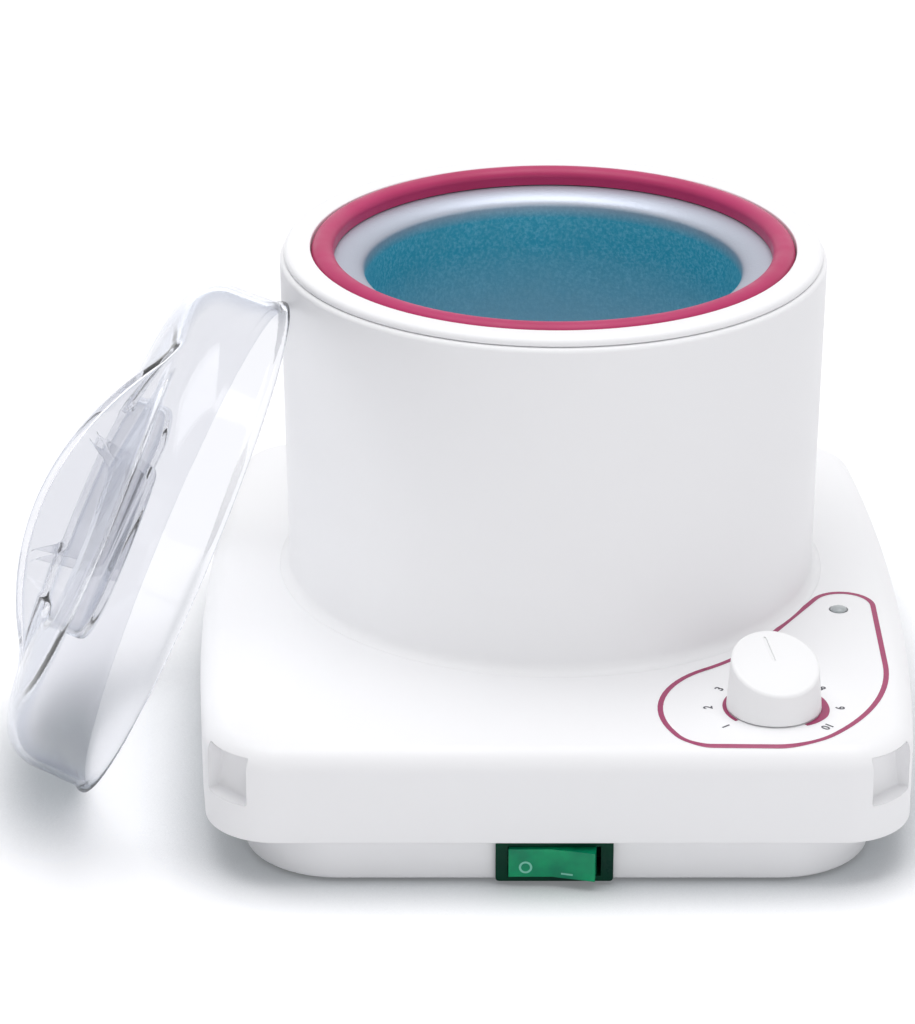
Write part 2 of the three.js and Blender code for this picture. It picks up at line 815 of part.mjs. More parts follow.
// Knob with a sloping top, hollow below, with a bore for the flatted shaft
function knob() {
  const slope = knob_rise / (2 * knob_top_radius);
  const crown = (x) => knob_low_height + knob_rise / 2 + slope * x;
  const ring = (radius, height) => {
    const points = arc(0, 0, radius, 0, 2 * Math.PI, knob_steps).slice(1);
    return points.map(([x, y]) => new THREE.Vector3(x, y, height(x)));
  };
  const low = seat_gap;
  const draft_share = knob_top_inset / knob_low_height;
  const edge = knob_round * knob_round_share;
  const blank = loft([
    ring(knob_radius, () => low),
    ring(knob_radius - draft_share * knob_round, () => low + knob_round),
    ring(knob_top_radius, (x) => crown(x) - knob_round),
    ring(knob_top_radius - edge, (x) => crown(x) - edge),
    ring(knob_top_radius - knob_round, crown),
  ]);
  const cavity = disc(knob_radius - knob_wall, low - overrun, knob_cavity_height, knob_steps);
  const bore = prism(shaftSection(fit_gap / 2), low, shaftTop() + fit_gap, half_small_steps);
  const groove = block(pointer_length, pointer_width, -pointer_depth, pointer_depth + overrun);
  groove.translate(pointer_start + pointer_length / 2, 0, 0);
  groove.rotateY(-Math.atan(slope)).translate(0, 0, crown(0));
  return surface(solid(blank).subtract(solid(cavity)).subtract(solid(bore)).subtract(solid(groove)));
}

function shaftTop() {
  return bushing_proud + shaft_reach + knob_cavity_height / 2;
}

function shaftFoot() {
  return thermostat_top - thermostat_height / 2;
}

function thermostatShaft() {
  return prism(shaftSection(0), shaftFoot(), shaftTop(), half_small_steps);
}

function thermostatBody() {
  const low = thermostat_top - thermostat_height;
  const outline = roundedBox(thermostat_width, thermostat_depth, thermostat_corner);
  const case_block = prism(outline, low, thermostat_top);
  let body = join(case_block, disc(bushing_radius, thermostat_top - overrun, bushing_proud));
  for (const side of [-1, 1]) {
    const tab = block(tab_width, tab_thickness, low - tab_length, low + overrun);
    body = body.add(solid(tab.translate(side * thermostat_tab_spread, 0, 0)));
  }
  const bore = disc(shaft_radius + fit_gap, shaftFoot() - fit_gap, bushing_proud + overrun);
  return surface(body.subtract(solid(bore)));
}

function thermostatNut() {
  const top = seat_gap + bushing_nut_height;
  return hexNut(bushing_radius + bushing_nut_wall, bushing_radius + fit_gap / 2, seat_gap, top);
}

// Indicator lamp: a domed lens held under the plate, and the cup behind it
function indicatorLens() {
  const top = -body_wall - seat_gap;
  const low = top - lens_flange_height;
  const bow = arc(0, 0, 1, 0, quarter_turn, fillet_steps);
  return turned([
    [0, low],
    [lens_radius + lens_flange_width, low],
    [lens_radius + lens_flange_width, top],
    [lens_radius, top],
    ...bow.map(([x, y]) => [lens_radius * x, lens_proud * y]),
  ], small_steps);
}

function lampHolder() {
  const top = -body_wall - 2 * seat_gap - lens_flange_height;
  const low = top - holder_height;
  const inside = disc(holder_radius - holder_wall, low + holder_wall, top + overrun);
  return surface(solid(disc(holder_radius, low, top)).subtract(solid(inside)));
}

// Rocker switch, drawn with its face at y = 0 looking along -Y
function switchHousing() {
  const outline = roundedBox(bezel_width, bezel_height, bezel_round);
  const face = prism(outline, -bezel_thickness, 0).rotateX(quarter_turn);
  const back = new THREE.BoxGeometry(switch_body_width, switch_body_depth, switch_body_height);
  back.translate(0, bezel_thickness / 2 + switch_body_depth / 2, 0);
  const mouth_width = rocker_width + 2 * fit_gap + rocker_proud;
  const mouth_height = rocker_height + 2 * fit_gap;
  const mouth_depth = rocker_pivot_depth + rocker_depth;
  const mouth = new THREE.BoxGeometry(mouth_width, mouth_depth + overrun, mouth_height);
  mouth.translate(0, (mouth_depth - overrun) / 2, 0);
  const pin_reach = mouth_height / 2 + rocker_pin_reach;
  const pin = disc(rocker_pin_radius + fit_gap / 2, -pin_reach, pin_reach);
  pin.translate(0, rocker_pivot_depth, 0);
  return surface(join(face, back).subtract(solid(mouth)).subtract(solid(pin)));
}

// Rocker with a shallow V face in front of a body that narrows to its back
function switchRocker() {
  const half = rocker_width / 2;
  const rise = half * Math.tan((rocker_swing_angle / 2) * radians);
  const outline = new THREE.Shape();
  outline.moveTo(-half, -rocker_proud - rise);
  outline.lineTo(0, -rocker_proud);
  outline.lineTo(half, -rocker_proud - rise);
  outline.lineTo(half, rocker_pivot_depth / 2);
  outline.lineTo(half / 2, rocker_depth);
  outline.lineTo(-half / 2, rocker_depth);
  outline.lineTo(-half, rocker_pivot_depth / 2);
  const cap = prism(outline, -rocker_height / 2, rocker_height / 2);
  const pin_reach = rocker_height / 2 + rocker_pin_reach;
  const pin = disc(rocker_pin_radius, -pin_reach, pin_reach);
  return surface(join(cap.translate(0, -rocker_pivot_depth, 0), pin));
}

function switchTerminal() {
  const start = bezel_thickness / 2 + switch_body_depth + fit_gap;
  const blade = new THREE.BoxGeometry(tab_thickness, terminal_length, tab_width);
  return blade.translate(0, start + terminal_length / 2, 0);
}

// Bottom tray
function bottomTray() {
  const edge = body_wall + fit_gap;
  const flange_low = tray_top - tray_flange;
  const skirt = loft([skirtPlan(0, 0), skirtPlan(0, tray_top - tray_flange / 2)]);
  const flange = loft([bodyPlan(edge, flange_low), bodyPlan(edge, tray_top)]);
  const inside = loft([skirtPlan(skirt_wall, tray_floor), skirtPlan(skirt_wall, tray_top + overrun)]);
  let body = join(skirt, flange).subtract(solid(inside));
  for (const [x, y] of bossPlaces()) {
    body = body.add(solid(disc(screw_hole_radius + tray_post_wall, 0, tray_top).translate(x, y, 0)));
  }
  for (const [x, y] of footPlaces()) {
    body = body.add(solid(disc(foot_radius + skirt_wall, 0, 2 * tray_floor).translate(x, y, 0)));
  }
  return surface(trayHoles(body));
}

function trayHoles(tray) {
  let body = tray;
  for (const [x, y] of bossPlaces()) {
    const bore = disc(screw_hole_radius, -overrun, tray_top + overrun);
    const counterbore = disc(screw_head_radius + fit_gap, -overrun, counterbore_depth);
    body = body.subtract(join(bore, counterbore).translate([x, y, 0]));
  }
  for (const [x, y] of footPlaces()) {
    const recess = disc(foot_radius + fit_gap, -overrun, foot_height - foot_proud + seat_gap);
    body = body.subtract(solid(recess.translate(x, y, 0)));
  }
  const vent = roundedBox(vent_width, vent_length, vent_width / 2);
  for (let i = 0; i < vent_count; i += 1) {
    const x = (i - (vent_count - 1) / 2) * vent_pitch;
    for (const y of [-vent_offset, vent_offset]) {
      const slot = prism(vent, -overrun, tray_floor + overrun, vent_steps);
      body = body.subtract(solid(slot.translate(x, y, 0)));
    }
  }
  const depth = switch_body_depth + 2 * overrun;
  const [width, height] = [switch_body_width + 2 * fit_gap, switch_body_height + 2 * fit_gap];
  const window = new THREE.BoxGeometry(width, depth, height);
  window.translate(switch_x, -skirt_front + depth / 2 - overrun, switch_z);
  return body.subtract(solid(window));
}

function footPlaces() {
  const x = skirt_half_width - skirt_corner + foot_shift_x;
  const front_y = -skirt_front + skirt_corner - foot_shift_y;
  const back_y = skirt_back - skirt_corner + foot_shift_y;
  return corners.map(([side, end]) => [side * x, end < 0 ? front_y : back_y]);
}

function foot() {
  const edge = foot_proud / 2;
  return turned([
    [0, -foot_proud],
    [foot_radius - edge, -foot_proud],
    [foot_radius, -foot_proud + edge],
    [foot_radius, foot_height - foot_proud],
    [0, foot_height - foot_proud],
  ], small_steps);
}

// Cord gland and its lock nut, drawn along Z with the outside of the back wall at height zero
function cordGland() {
  const outside = seat_gap;
  const inside = -body_wall - gland_reach;
  const end = outside + gland_flange_thickness;
  const flange_radius = gland_radius + gland_flange_width;
  const chamfer = gland_flange_thickness / 2;
  return turned([
    [gland_bore, inside],
    [gland_radius, inside],
    [gland_radius, outside],
    [flange_radius, outside],
    [flange_radius, end - chamfer],
    [flange_radius - chamfer, end],
    [gland_bore + chamfer, end],
    [gland_bore, outside],
    [gland_bore, inside],
  ], small_steps);
}

function glandNut() {
  const high = -body_wall - seat_gap;
  const low = high - gland_nut_thickness;
  return hexNut(gland_radius + gland_nut_wall, gland_radius + fit_gap / 2, low, high);
}

// Terminal block with a row of wire holes, screw holes above them and grooves between
function terminalBlock() {
  let body = solid(block(block_length, block_width, 0, block_height));
  const pitch = block_length / block_ways;
  const wire = disc(block_bore, -block_width, block_width).rotateX(quarter_turn);
  const cut = (geometry, x, y, z) => {
    body = body.subtract(solid(geometry).translate([x, y, z]));
  };
  for (let i = 0; i < block_ways; i += 1) {
    const x = (i - (block_ways - 1) / 2) * pitch;
    cut(wire, x, 0, block_height / 2);
    for (const side of [-1, 1]) {
      cut(disc(block_bore, block_height / 2, block_height + overrun), x, side * block_width / 4, 0);
    }
  }
  const groove_low = block_height * block_groove_share;
  for (let i = 1; i < block_ways; i += 1) {
    const groove = block(block_groove, block_width + overrun, groove_low, block_height + overrun);
    cut(groove, (i - block_ways / 2) * pitch, 0, 0);
  }
  return surface(body);
}

// Clear lid, drawn standing on its rim with the ridge along X
function domeProfile(inset) {
  const shoulder = lid_radius - lid_lip - inset - lid_shoulder_inset;
  const centre = shoulder - lid_shoulder_width + inset / 2;
  const height = lid_shoulder_height - inset;
  const top = lid_wall_height + height;
  const profile = [];
  const steps = 2 * fillet_steps;
  const fullness = lid_shoulder_fullness_share;
  for (let i = 0; i <= steps; i += 1) {
    const lift = Math.sin(quarter_turn * i / steps);
    const out = (1 - lift ** fullness) ** (1 / fullness);
    profile.push([centre + (shoulder - centre) * out, lid_wall_height + height * lift]);
  }
  profile.push([centre / 2, top + lid_crown * lid_crown_share], [0, top + lid_crown]);
  return profile;
}

function dome(inset, low) {
  const radius = lid_radius - lid_lip - inset;
  const lip_top = low + lid_lip_height;
  const lip = [[lid_radius, low], [lid_radius, lip_top], [radius, lip_top + lid_lip]];
  const foot_ring = inset > 0 ? [[radius, low]] : lip;
  return turned([[0, low], ...foot_ring, ...domeProfile(inset)], lid_steps);
}

// The arched ridge across the dome, as sections along its length
function ridge(inset) {
  const peak = lid_crown_height + lid_crest - inset;
  const length = lid_ridge_half_length - inset;
  const half = lid_ridge_half_width - inset;
  const curve = lid_ridge_sag / (lid_ridge_half_width * half) * (1 - (inset / lid_ridge_half_width) ** 2);
  const foot = lid_wall_height / 2 - inset;
  const low = inset > 0 ? -overrun : lid_lip_height;
  const across = 4 * fillet_steps;
  const each_way = 2 * fillet_steps;
  const sections = [];
  for (let i = 0; i <= 2 * each_way; i += 1) {
    const along = length * (i / each_way - 1);
    const top = peak - lid_arch_radius + Math.sqrt(lid_arch_radius ** 2 - along ** 2);
    const reach = Math.min(half, Math.sqrt((top - foot) / curve));
    const section = [];
    for (let j = 0; j <= across; j += 1) {
      const side = reach * Math.sin(quarter_turn * (2 * j / across - 1));
      section.push(new THREE.Vector3(side, top - curve * side ** 2, along));
    }
    section.push(new THREE.Vector3(reach, low, along), new THREE.Vector3(-reach, low, along));
    sections.push(section);
  }
  return loft(sections).rotateX(quarter_turn).rotateZ(quarter_turn);
}

// One finger scoop beside the ridge: a half oval whose straight side is the grip wall
function scoop(side, inset) {
  const top = lid_crown_height + lid_crest + overrun;
  const low = lid_wall_height + lid_scoop_lift - inset;
  const level = (z, grow, grip) => {
    const length = lid_scoop_half_length + inset + grow;
    const reach = lid_scoop_reach + 2 * inset + grow;
    const half_turn = arc(0, 0, 1, 0, Math.PI, 2 * corner_steps);
    return half_turn.map(([x, y]) => new THREE.Vector3(length * x, side * (grip - inset + reach * y), z));
  };
  return loft([
    level(low, -lid_scoop_round, lid_grip_foot + lid_scoop_round / 2),
    level(low + lid_scoop_round, 0, lid_grip_foot),
    level(top, lid_scoop_flare, lid_grip_top),
  ]);
}

function lidShell() {
  let outside = join(dome(0, 0), ridge(0));
  let inside = join(dome(lid_wall, -overrun), ridge(lid_wall));
  for (const side of [-1, 1]) {
    outside = outside.subtract(solid(scoop(side, 0)));
    inside = inside.subtract(solid(scoop(side, lid_wall)));
  }
  return surface(outside.subtract(inside));
}

// How far the housing reaches towards the lid at one point of the lid's rim
function housingReach(y, z) {
  if (z > cap_top || z < body_bottom) return 0;
  if (z < body_top) return body_half_width;
  const share = Math.min((z - body_top) / (barrel_top - body_top), 1);
  const radius = barrel_foot_radius + barrel_foot_inset * share;
  return Math.sqrt(Math.max(radius ** 2 - y ** 2, 0));
}

// Moves the leaning lid along X until its rim just clears the barrel and the base body
function lidPlaceX() {
  const rim = arc(0, 0, lid_radius, 0, 2 * Math.PI, 8 * lid_steps);
  const places = rim.map(([up, along]) => {
    const z = floor_level + (lid_radius + up) * Math.cos(lean_angle);
    return housingReach(lid_y - along, z) + seat_gap + up * Math.sin(lean_angle);
  });
  return -Math.max(...places);
}

// Materials
function plastic(colour, roughness) {
  return new THREE.MeshStandardMaterial({ color: colour, roughness, metalness: 0 });
}

function metal(colour, roughness) {
  return new THREE.MeshStandardMaterial({ color: colour, roughness, metalness: 1 });
}

const white = plastic(0xf4f3f6, 0.25);
const magenta = plastic(0xb8265c, 0.35);
const teal = plastic(0x3a8295, 0.6);
const black = plastic(0x1d1f22, 0.5);
const dark_green = plastic(0x062e1e, 0.35);
const green = plastic(0x128a48, 0.2);
const clear = plastic(0xe9edf5, 0.05);
clear.transparent = true;
clear.opacity = 0.35;
const grey_lens = plastic(0xa6abac, 0.3);
const felt = plastic(0xe2dccb, 0.95);
const mica = plastic(0xb59a6a, 0.7);
const steel = metal(0xb9bdc2, 0.35);
const copper = metal(0xb8704a, 0.35);
const ivory = plastic(0xe6e0cc, 0.5);
const rubber = plastic(0x2a2b2d, 0.9);

const warmer = new THREE.Group();

function place(parent, name, geometry, material, x = 0, y = 0, z = 0) {
  const mesh = new THREE.Mesh(geometry, material);
  mesh.name = name;
  mesh.position.set(x, y, z);
  parent.add(mesh);
  return mesh;
}

place(warmer, 'upper_housing', upperHousing(), white);
place(warmer, 'housing_barrel', housingBarrel(), white);
place(warmer, 'bottom_tray', bottomTray(), white);
place(warmer, 'top_cap', topCap(), white);
place(warmer, 'trim_ring', trimRing(), magenta);
place(warmer, 'heating_well', heatingWell(), teal);
place(warmer, 'heater_band', heaterBand(), mica);
place(warmer, 'insulation_sleeve', insulationSleeve(), felt);
place(warmer, 'sensor_bulb', sensorBulb(), copper, 0, bulb_y, band_bottom);
clampPlaces().forEach((z, i) => {
  const bolt = place(warmer, `clamp_bolt_${i + 1}`, clampBolt(), steel, 0, clamp_y, z);
  const nut = place(warmer, `clamp_nut_${i + 1}`, clampNut(), steel, 0, clamp_y, z);
  bolt.rotation.y = quarter_turn;
  nut.rotation.y = quarter_turn;
});
place(warmer, 'well_bridge', wellBridge(), steel);
place(warmer, 'well_nut', wellNut(), steel);
place(warmer, 'thermal_cutout', thermalCutout(), steel, 0, cutout_offset, well_under - seat_gap);
[-1, 1].forEach((side, i) => {
  const x = side * barrel_radius;
  place(warmer, `bridge_screw_${i + 1}`, screw(bridge_screw_reach), steel, x, 0, bridge_under - seat_gap);
});
bossPlaces().forEach(([x, y], i) => {
  const reach = tray_top + screw_reach - counterbore_depth;
  place(warmer, `case_screw_${i + 1}`, screw(reach), steel, x, y, counterbore_depth - seat_gap);
});
footPlaces().forEach(([x, y], i) => place(warmer, `foot_${i + 1}`, foot(), rubber, x, y));
const gland = place(warmer, 'cord_gland', cordGland(), black, 0, body_back, gland_height);
const gland_nut = place(warmer, 'gland_nut', glandNut(), black, 0, body_back, gland_height);
gland.rotation.x = -quarter_turn;
gland_nut.rotation.x = -quarter_turn;
place(warmer, 'terminal_block', terminalBlock(), ivory, block_x, block_y, tray_floor + seat_gap);

const control = new THREE.Group();
control.position.set(knob_x, knob_y, body_top);
warmer.add(control);
place(control, 'thermostat_body', thermostatBody(), black);
place(control, 'thermostat_nut', thermostatNut(), steel);
const turning = new THREE.Group();
turning.rotation.z = knob_pointer_angle * radians;
control.add(turning);
place(turning, 'thermostat_shaft', thermostatShaft(), steel);
place(turning, 'knob', knob(), white);

place(warmer, 'indicator_lens', indicatorLens(), grey_lens, lamp_x, lamp_y, body_top);
place(warmer, 'lamp_holder', lampHolder(), black, lamp_x, lamp_y, body_top);

const rocker_switch = new THREE.Group();
rocker_switch.position.set(switch_x, -skirt_front - seat_gap - bezel_thickness, switch_z);
warmer.add(rocker_switch);
place(rocker_switch, 'switch_housing', switchHousing(), dark_green);
[-1, 0, 1].forEach((side, i) => {
  const x = side * switch_body_width / 3;
  place(rocker_switch, `switch_terminal_${i + 1}`, switchTerminal(), copper, x);
});
const rocker = place(rocker_switch, 'switch_rocker', switchRocker(), green, 0, rocker_pivot_depth, 0);
rocker.rotation.z = -(rocker_swing_angle / 2) * radians;

const lean = new THREE.Group();
lean.position.set(lidPlaceX(), lid_y, floor_level + lid_radius * Math.cos(lean_angle));
lean.rotation.y = lean_angle - quarter_turn;
warmer.add(lean);
const lid = place(lean, 'lid', lidShell(), clear);
lid.rotation.z = -lid_spin_angle * radians;

export default warmer;
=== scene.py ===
"""A wax warmer with a white moulded housing, a teal heated well and a clear lid leaning on its side."""

import math

import bmesh
import bpy
import numpy as np
from mathutils import Matrix, Vector


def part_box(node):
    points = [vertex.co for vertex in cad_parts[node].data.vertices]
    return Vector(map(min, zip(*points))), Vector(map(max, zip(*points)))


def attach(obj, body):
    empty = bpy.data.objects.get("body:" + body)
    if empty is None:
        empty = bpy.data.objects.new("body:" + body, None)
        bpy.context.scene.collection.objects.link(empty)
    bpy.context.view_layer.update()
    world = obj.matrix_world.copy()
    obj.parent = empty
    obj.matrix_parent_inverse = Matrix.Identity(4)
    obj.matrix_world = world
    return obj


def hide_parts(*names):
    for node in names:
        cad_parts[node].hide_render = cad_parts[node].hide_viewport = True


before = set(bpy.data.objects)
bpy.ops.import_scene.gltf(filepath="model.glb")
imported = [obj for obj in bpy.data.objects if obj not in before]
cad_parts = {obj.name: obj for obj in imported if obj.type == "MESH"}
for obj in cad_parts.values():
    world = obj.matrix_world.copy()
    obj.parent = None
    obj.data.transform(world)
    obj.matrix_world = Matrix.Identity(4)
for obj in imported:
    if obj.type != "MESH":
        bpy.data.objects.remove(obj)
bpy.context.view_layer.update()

# Lengths and places in millimetres, in the CAD frame
mm = 0.001
round_steps = 160
arc_steps = 14
fillet_steps = 10
quarter_turn = [math.pi / 2 * i / fillet_steps for i in range(fillet_steps + 1)]
hole_steps = 48
skin = 0.06
box_flat = 0.01
box_corner_steps = 6
weld_distance = 0.001
node_edge_angle = 32.0
crisp_angle = 30.0

# Base body and barrel
body_front = 128.6
body_back = 96.0
body_middle = (body_back - body_front) / 2
body_half_width = 103.5
body_side_radius = 880.0
body_corner = 20.6
body_bottom = 13.1
body_top = 40.9
body_fillet = 6.7
body_wall = 2.5
barrel_radius = 80.0
barrel_foot_radius = 78.8
barrel_wall = 2.6
barrel_rim_round = 1.6
barrel_foot_round = 3.5
barrel_foot_sink = 0.05
pocket_width = 15.4
pocket_bottom = 23.6
pocket_top = 37.9
pocket_depth_top = 7.6
pocket_depth_bottom = 5.2
pocket_lining = 2.0
pocket_overrun = 3.0
pocket_edge_round = 0.6
plate_cut = (30.0, 60.0)

# Bottom tray and switch
skirt_front_inset = 3.5
skirt_side_inset = 11.4
skirt_corner = 27.0
skirt_wall = 2.4
skirt_edge_round = 0.8
tray_floor = 1.9
tray_flange_low = 13.4
tray_top = 15.4
tray_post_radius = 5.0
screw_hole_radius = 1.9
counterbore_radius = 3.5
counterbore_depth = 7.0
boss_places = [(82.5, -97.0), (82.5, 64.4)]
foot_places = [(70.1, -100.1), (70.1, 67.5)]
foot_recess_radius = 7.3
foot_recess_depth = 1.5
vent_width = 3.0
vent_length = 34.0
vent_pitch = 9.0
vent_count = 4
vent_offset = 46.0
switch_x = -1.2
switch_z = 6.5
switch_window = (28.2, 10.8)
switch_window_corner = 0.5
rocker_face = 127.96
rocker_fold = -1.85
rocker_tilt = math.radians(14)

# Cap, ring and well
cap_top = 142.2
cap_radius = 78.8
cap_edge_height = 2.0
cap_round = 1.4
cap_step_radius = 71.1
ring_radius = 70.8
ring_inner_radius = 64.2
ring_crest = 0.9
ring_round = 2.6
ring_steps = 20
flange_top = 137.9
flange_thickness = 1.3
well_radius = 55.4
well_foot_radius = 54.4
well_wall = 1.8
well_floor = 24.0
well_corner = 7.0
well_flange_radius = 69.8
well_lip_radius = 64.0
well_lip_height = 3.8
well_lip_depths = (7.3, 2.8)
# Depths below the flange top where the well's painted sheen is strongest and where it ends
well_painted_sheen_depths = (42.0, 16.0)
cap_ledge_radius = 64.6
cap_spigot = 11.0
cap_spigot_wall = 2.0
cap_ledge_thickness = 2.4
cap_step_round = 0.35
cap_step_steps = 4
seat_gap = 0.3

# Knob, with its pointer's angle in degrees from the right
knob_centre = (60.3, -100.5)
knob_radius = 13.3
knob_top_radius = 12.4
knob_low_height = 9.2
knob_high_height = 18.2
knob_round = 0.9
knob_foot_round = 0.3
knob_steps = 96
knob_cavity_radius = 11.0
knob_cavity_height = 6.0
knob_cavity_steps = 64
knob_cut_margin = 2.0
knob_pointer_angle = 105.0
pointer_width = 0.7
pointer_depth = 0.3
pointer_cut_top = 3.0
pointer_length = 9.5
pointer_start = 0.8
shaft_hole_radius = 5.0

# Holes for the lamp and the cord gland
lamp_centre = (84.2, -36.4)
lamp_hole_radius = 2.8
gland_hole_radius = 5.9
gland_height = 26.0
gland_cut = 20.0

# Lid
lid_radius = 76.1
lid_lip = 0.8
lid_lip_height = 2.2
lid_wall = 2.0
lid_shoulder_inset = 0.7
lid_wall_height = 13.5
lid_shoulder_width = 17.0
lid_shoulder_height = 15.0
lid_crown = 3.5
lid_shoulder_fullness = 2.5
lid_crest = 12.5
lid_arch_radius = 125.2
lid_arch_reach = 110.0
lid_ridge_half_length = 70.0
lid_ridge_half_width = 20.0
lid_ridge_sag = 27.2
lid_ridge_end_round = 1.0
lid_scoop_half_length = 26.0
lid_scoop_reach = 33.0
lid_scoop_floor = 19.5
lid_grip_foot = 7.4
lid_grip_top = 4.2
lid_scoop_flare = 2.0
lid_blend = 3.0
lid_edge_round = 1.6
lid_floor_round = 3.0
lid_rim_round = 0.9
lid_lip_round = 1.2
lid_lean = math.radians(24.6)
lid_spin = math.radians(16.0)
lid_y = -52.1
floor_level = -1.0
lid_grid = 0.85

# Print, with its angles in degrees from the right
panel_line_width = 1.55
panel_corner_steps = 16
# Corners of the control panel's outline as (x, y, radius)
panel_corners = [
    (35.2, -123.6, 10.9),
    (69.3, -124.0, 22.4),
    (93.9, -98.4, 62.0),
    (94.9, -1.0, 9.0),
    (53.8, -69.2, 61.7),
    (19.8, -91.7, 31.1),
]
scale_start = 218.0
scale_end = -54.0
scale_inner_radius = 13.2
scale_low_width = 1.1
scale_swell = 1.8
scale_tip = 0.12
scale_steps = 120
digit_angles = [220, 181, 142, 121.4, 100.8, 80.2, 59.6, 39, -2, -41]
digit_circle = 18.3
digit_size = 3.6
digit_relief = 0.02
digit_weight = 0.08
off_mark_centre = (-9.2, 5.2)
off_mark_radii = (1.25, 1.85)
off_mark_steps = 40
on_mark_low = (0.6, 3.3)
on_mark_high = (3.8, 3.85)

# Camera and floor
camera_place = (-28.0, -1056.8, 520.75)
camera_down = 23.73
camera_lens = 134.585
camera_sensor = 36.0
floor_half = 3000.0
floor_shade_reach = 35.0
floor_glow_reach = (400.0, 1100.0)


# Mesh tools
def mesh_object(name, points, faces, body):
    """A new object from points in millimetres, faces pointing out, which rides on its body if it has one."""
    mesh = bpy.data.meshes.new(name)
    mesh.from_pydata([tuple(value * mm for value in point) for point in points], [], faces)
    builder = bmesh.new()
    builder.from_mesh(mesh)
    bmesh.ops.remove_doubles(builder, verts=builder.verts, dist=weld_distance * mm)
    bmesh.ops.recalc_face_normals(builder, faces=builder.faces)
    builder.to_mesh(mesh)
    builder.free()
    made = bpy.data.objects.new(name, mesh)
    bpy.context.scene.collection.objects.link(made)
    if body:
        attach(made, body)
    return made


def smooth(made, degrees=35.0):
    """Shades smooth, with edges sharper than the angle kept crisp."""
    made.data.polygons.foreach_set("use_smooth", [True] * len(made.data.polygons))
    made.data.set_sharp_from_angle(angle=math.radians(degrees))
    return made


def loft(name, rings, body):
    """Skins rings of equal count and closes both ends."""
    count = len(rings[0])
    points = [point for ring in rings for point in ring]
    faces = []
    for level in range(len(rings) - 1):
        for i in range(count):
            a, b = level * count + i, level * count + (i + 1) % count
            faces.append((a, b, b + count, a + count))
    top = (len(rings) - 1) * count
    faces.append(tuple(reversed(range(count))))
    faces.append(tuple(range(top, top + count)))
    return mesh_object(name, points, faces, body)


def circle_point(centre, radius, angle):
    return centre[0] + radius * math.cos(angle), centre[1] + radius * math.sin(angle)


def turned(name, profile, body, steps=round_steps, centre=(0, 0)):
    """Turns a profile of (radius, height) round an upright axis, closed unless both ends lie on the axis."""
    open_ended = profile[0][0] == 0 and profile[-1][0] == 0
    rows = profile if open_ended else profile + [profile[0]]
    points, index = [], []
    for radius, height in rows:
        if radius == 0:
            index.append([len(points)] * steps)
            points.append((centre[0], centre[1], height))
            continue
        index.append(list(range(len(points), len(points) + steps)))
        for i in range(steps):
            points.append((*circle_point(centre, radius, 2 * math.pi * i / steps), height))
    faces = []
    for low, high in zip(index, index[1:]):
        for i in range(steps):
            j = (i + 1) % steps
            face = list(dict.fromkeys([low[i], low[j], high[j], high[i]]))
            if len(face) > 2:
                faces.append(face)
    return mesh_object(name, points, faces, body)


def arc(centre, radius, start, end, steps=fillet_steps):
    """Points of an arc with radii across and up. Angles in degrees, 0 outwards and 90 up."""
    points = []
    for i in range(steps + 1):
        angle = math.radians(start + (end - start) * i / steps)
        points.append((centre[0] + radius[0] * math.cos(angle), centre[1] + radius[1] * math.sin(angle)))
    return points


def rod(radius, low, high, centre=(0, 0), steps=hole_steps):
    """An upright round tool."""
    return turned("rod_tool", [(0, low), (radius, low), (radius, high), (0, high)], None, steps, centre)


def bake_modifiers(made):
    """Replaces an object's mesh by the mesh that its modifiers give."""
    graph = bpy.context.evaluated_depsgraph_get()
    result = bpy.data.meshes.new_from_object(made.evaluated_get(graph))
    made.modifiers.clear()
    made.data = result
    return made


def combine(made, tool, operation):
    """Joins another solid to an object or takes it away, and deletes that solid."""
    step = made.modifiers.new("combine", "BOOLEAN")
    step.operation = operation
    step.solver = "EXACT"
    step.object = tool
    bpy.context.view_layer.update()
    bake_modifiers(made)
    bpy.data.objects.remove(tool)
    return made


def cut(made, *tools):
    for tool in tools:
        combine(made, tool, "DIFFERENCE")
    return made


def soften(made, width, segments, degrees):
    """Rounds an object's crisp edges."""
    step = made.modifiers.new("round", "BEVEL")
    step.width = width * mm
    step.segments = segments
    step.limit_method = "ANGLE"
    step.angle_limit = math.radians(degrees)
    step.harden_normals = False
    return bake_modifiers(made)


def rounded_box(name, width, depth, low, high, corner, centre):
    """A tool with rounded upright corners."""
    ring = []
    for i, (sx, sy) in enumerate([(1, -1), (1, 1), (-1, 1), (-1, -1)]):
        middle = (centre[0] + sx * (width / 2 - corner), centre[1] + sy * (depth / 2 - corner))
        ring += arc(middle, (corner, corner), -90 + 90 * i, 90 * i, box_corner_steps)
    return loft(name, [[(x, y, z) for x, y in ring] for z in (low, high)], None)


# Housing
def bowed_plan(front, back, half_width, corner, inset, z):
    """A plan with round corners and bowed sides, all arcs tangent."""
    side = half_width - body_side_radius
    reach = body_side_radius - corner
    ends = [-front + corner, back - corner]
    across = [side + math.sqrt(reach**2 - (y - body_middle) ** 2) for y in ends]
    turns = [math.degrees(math.atan2(y - body_middle, x - side)) for x, y in zip(across, ends)]
    turn = (corner - inset,) * 2
    bow = (body_side_radius - inset,) * 2
    right = arc((across[0], ends[0]), turn, -90, turns[0], arc_steps)
    right += arc((side, body_middle), bow, turns[0], turns[1], arc_steps)[1:-1]
    right += arc((across[1], ends[1]), turn, turns[1], 90, arc_steps)
    left = [(-x, y) for x, y in reversed(right)]
    return [(x, y, z) for x, y in right + left]


def body_plan(inset, z):
    return bowed_plan(body_front, body_back, body_half_width, body_corner, inset, z)


def skirt_plan(inset, z):
    front, back = body_front - skirt_front_inset, body_back - skirt_front_inset
    return bowed_plan(front, back, body_half_width - skirt_side_inset, skirt_corner, inset, z)


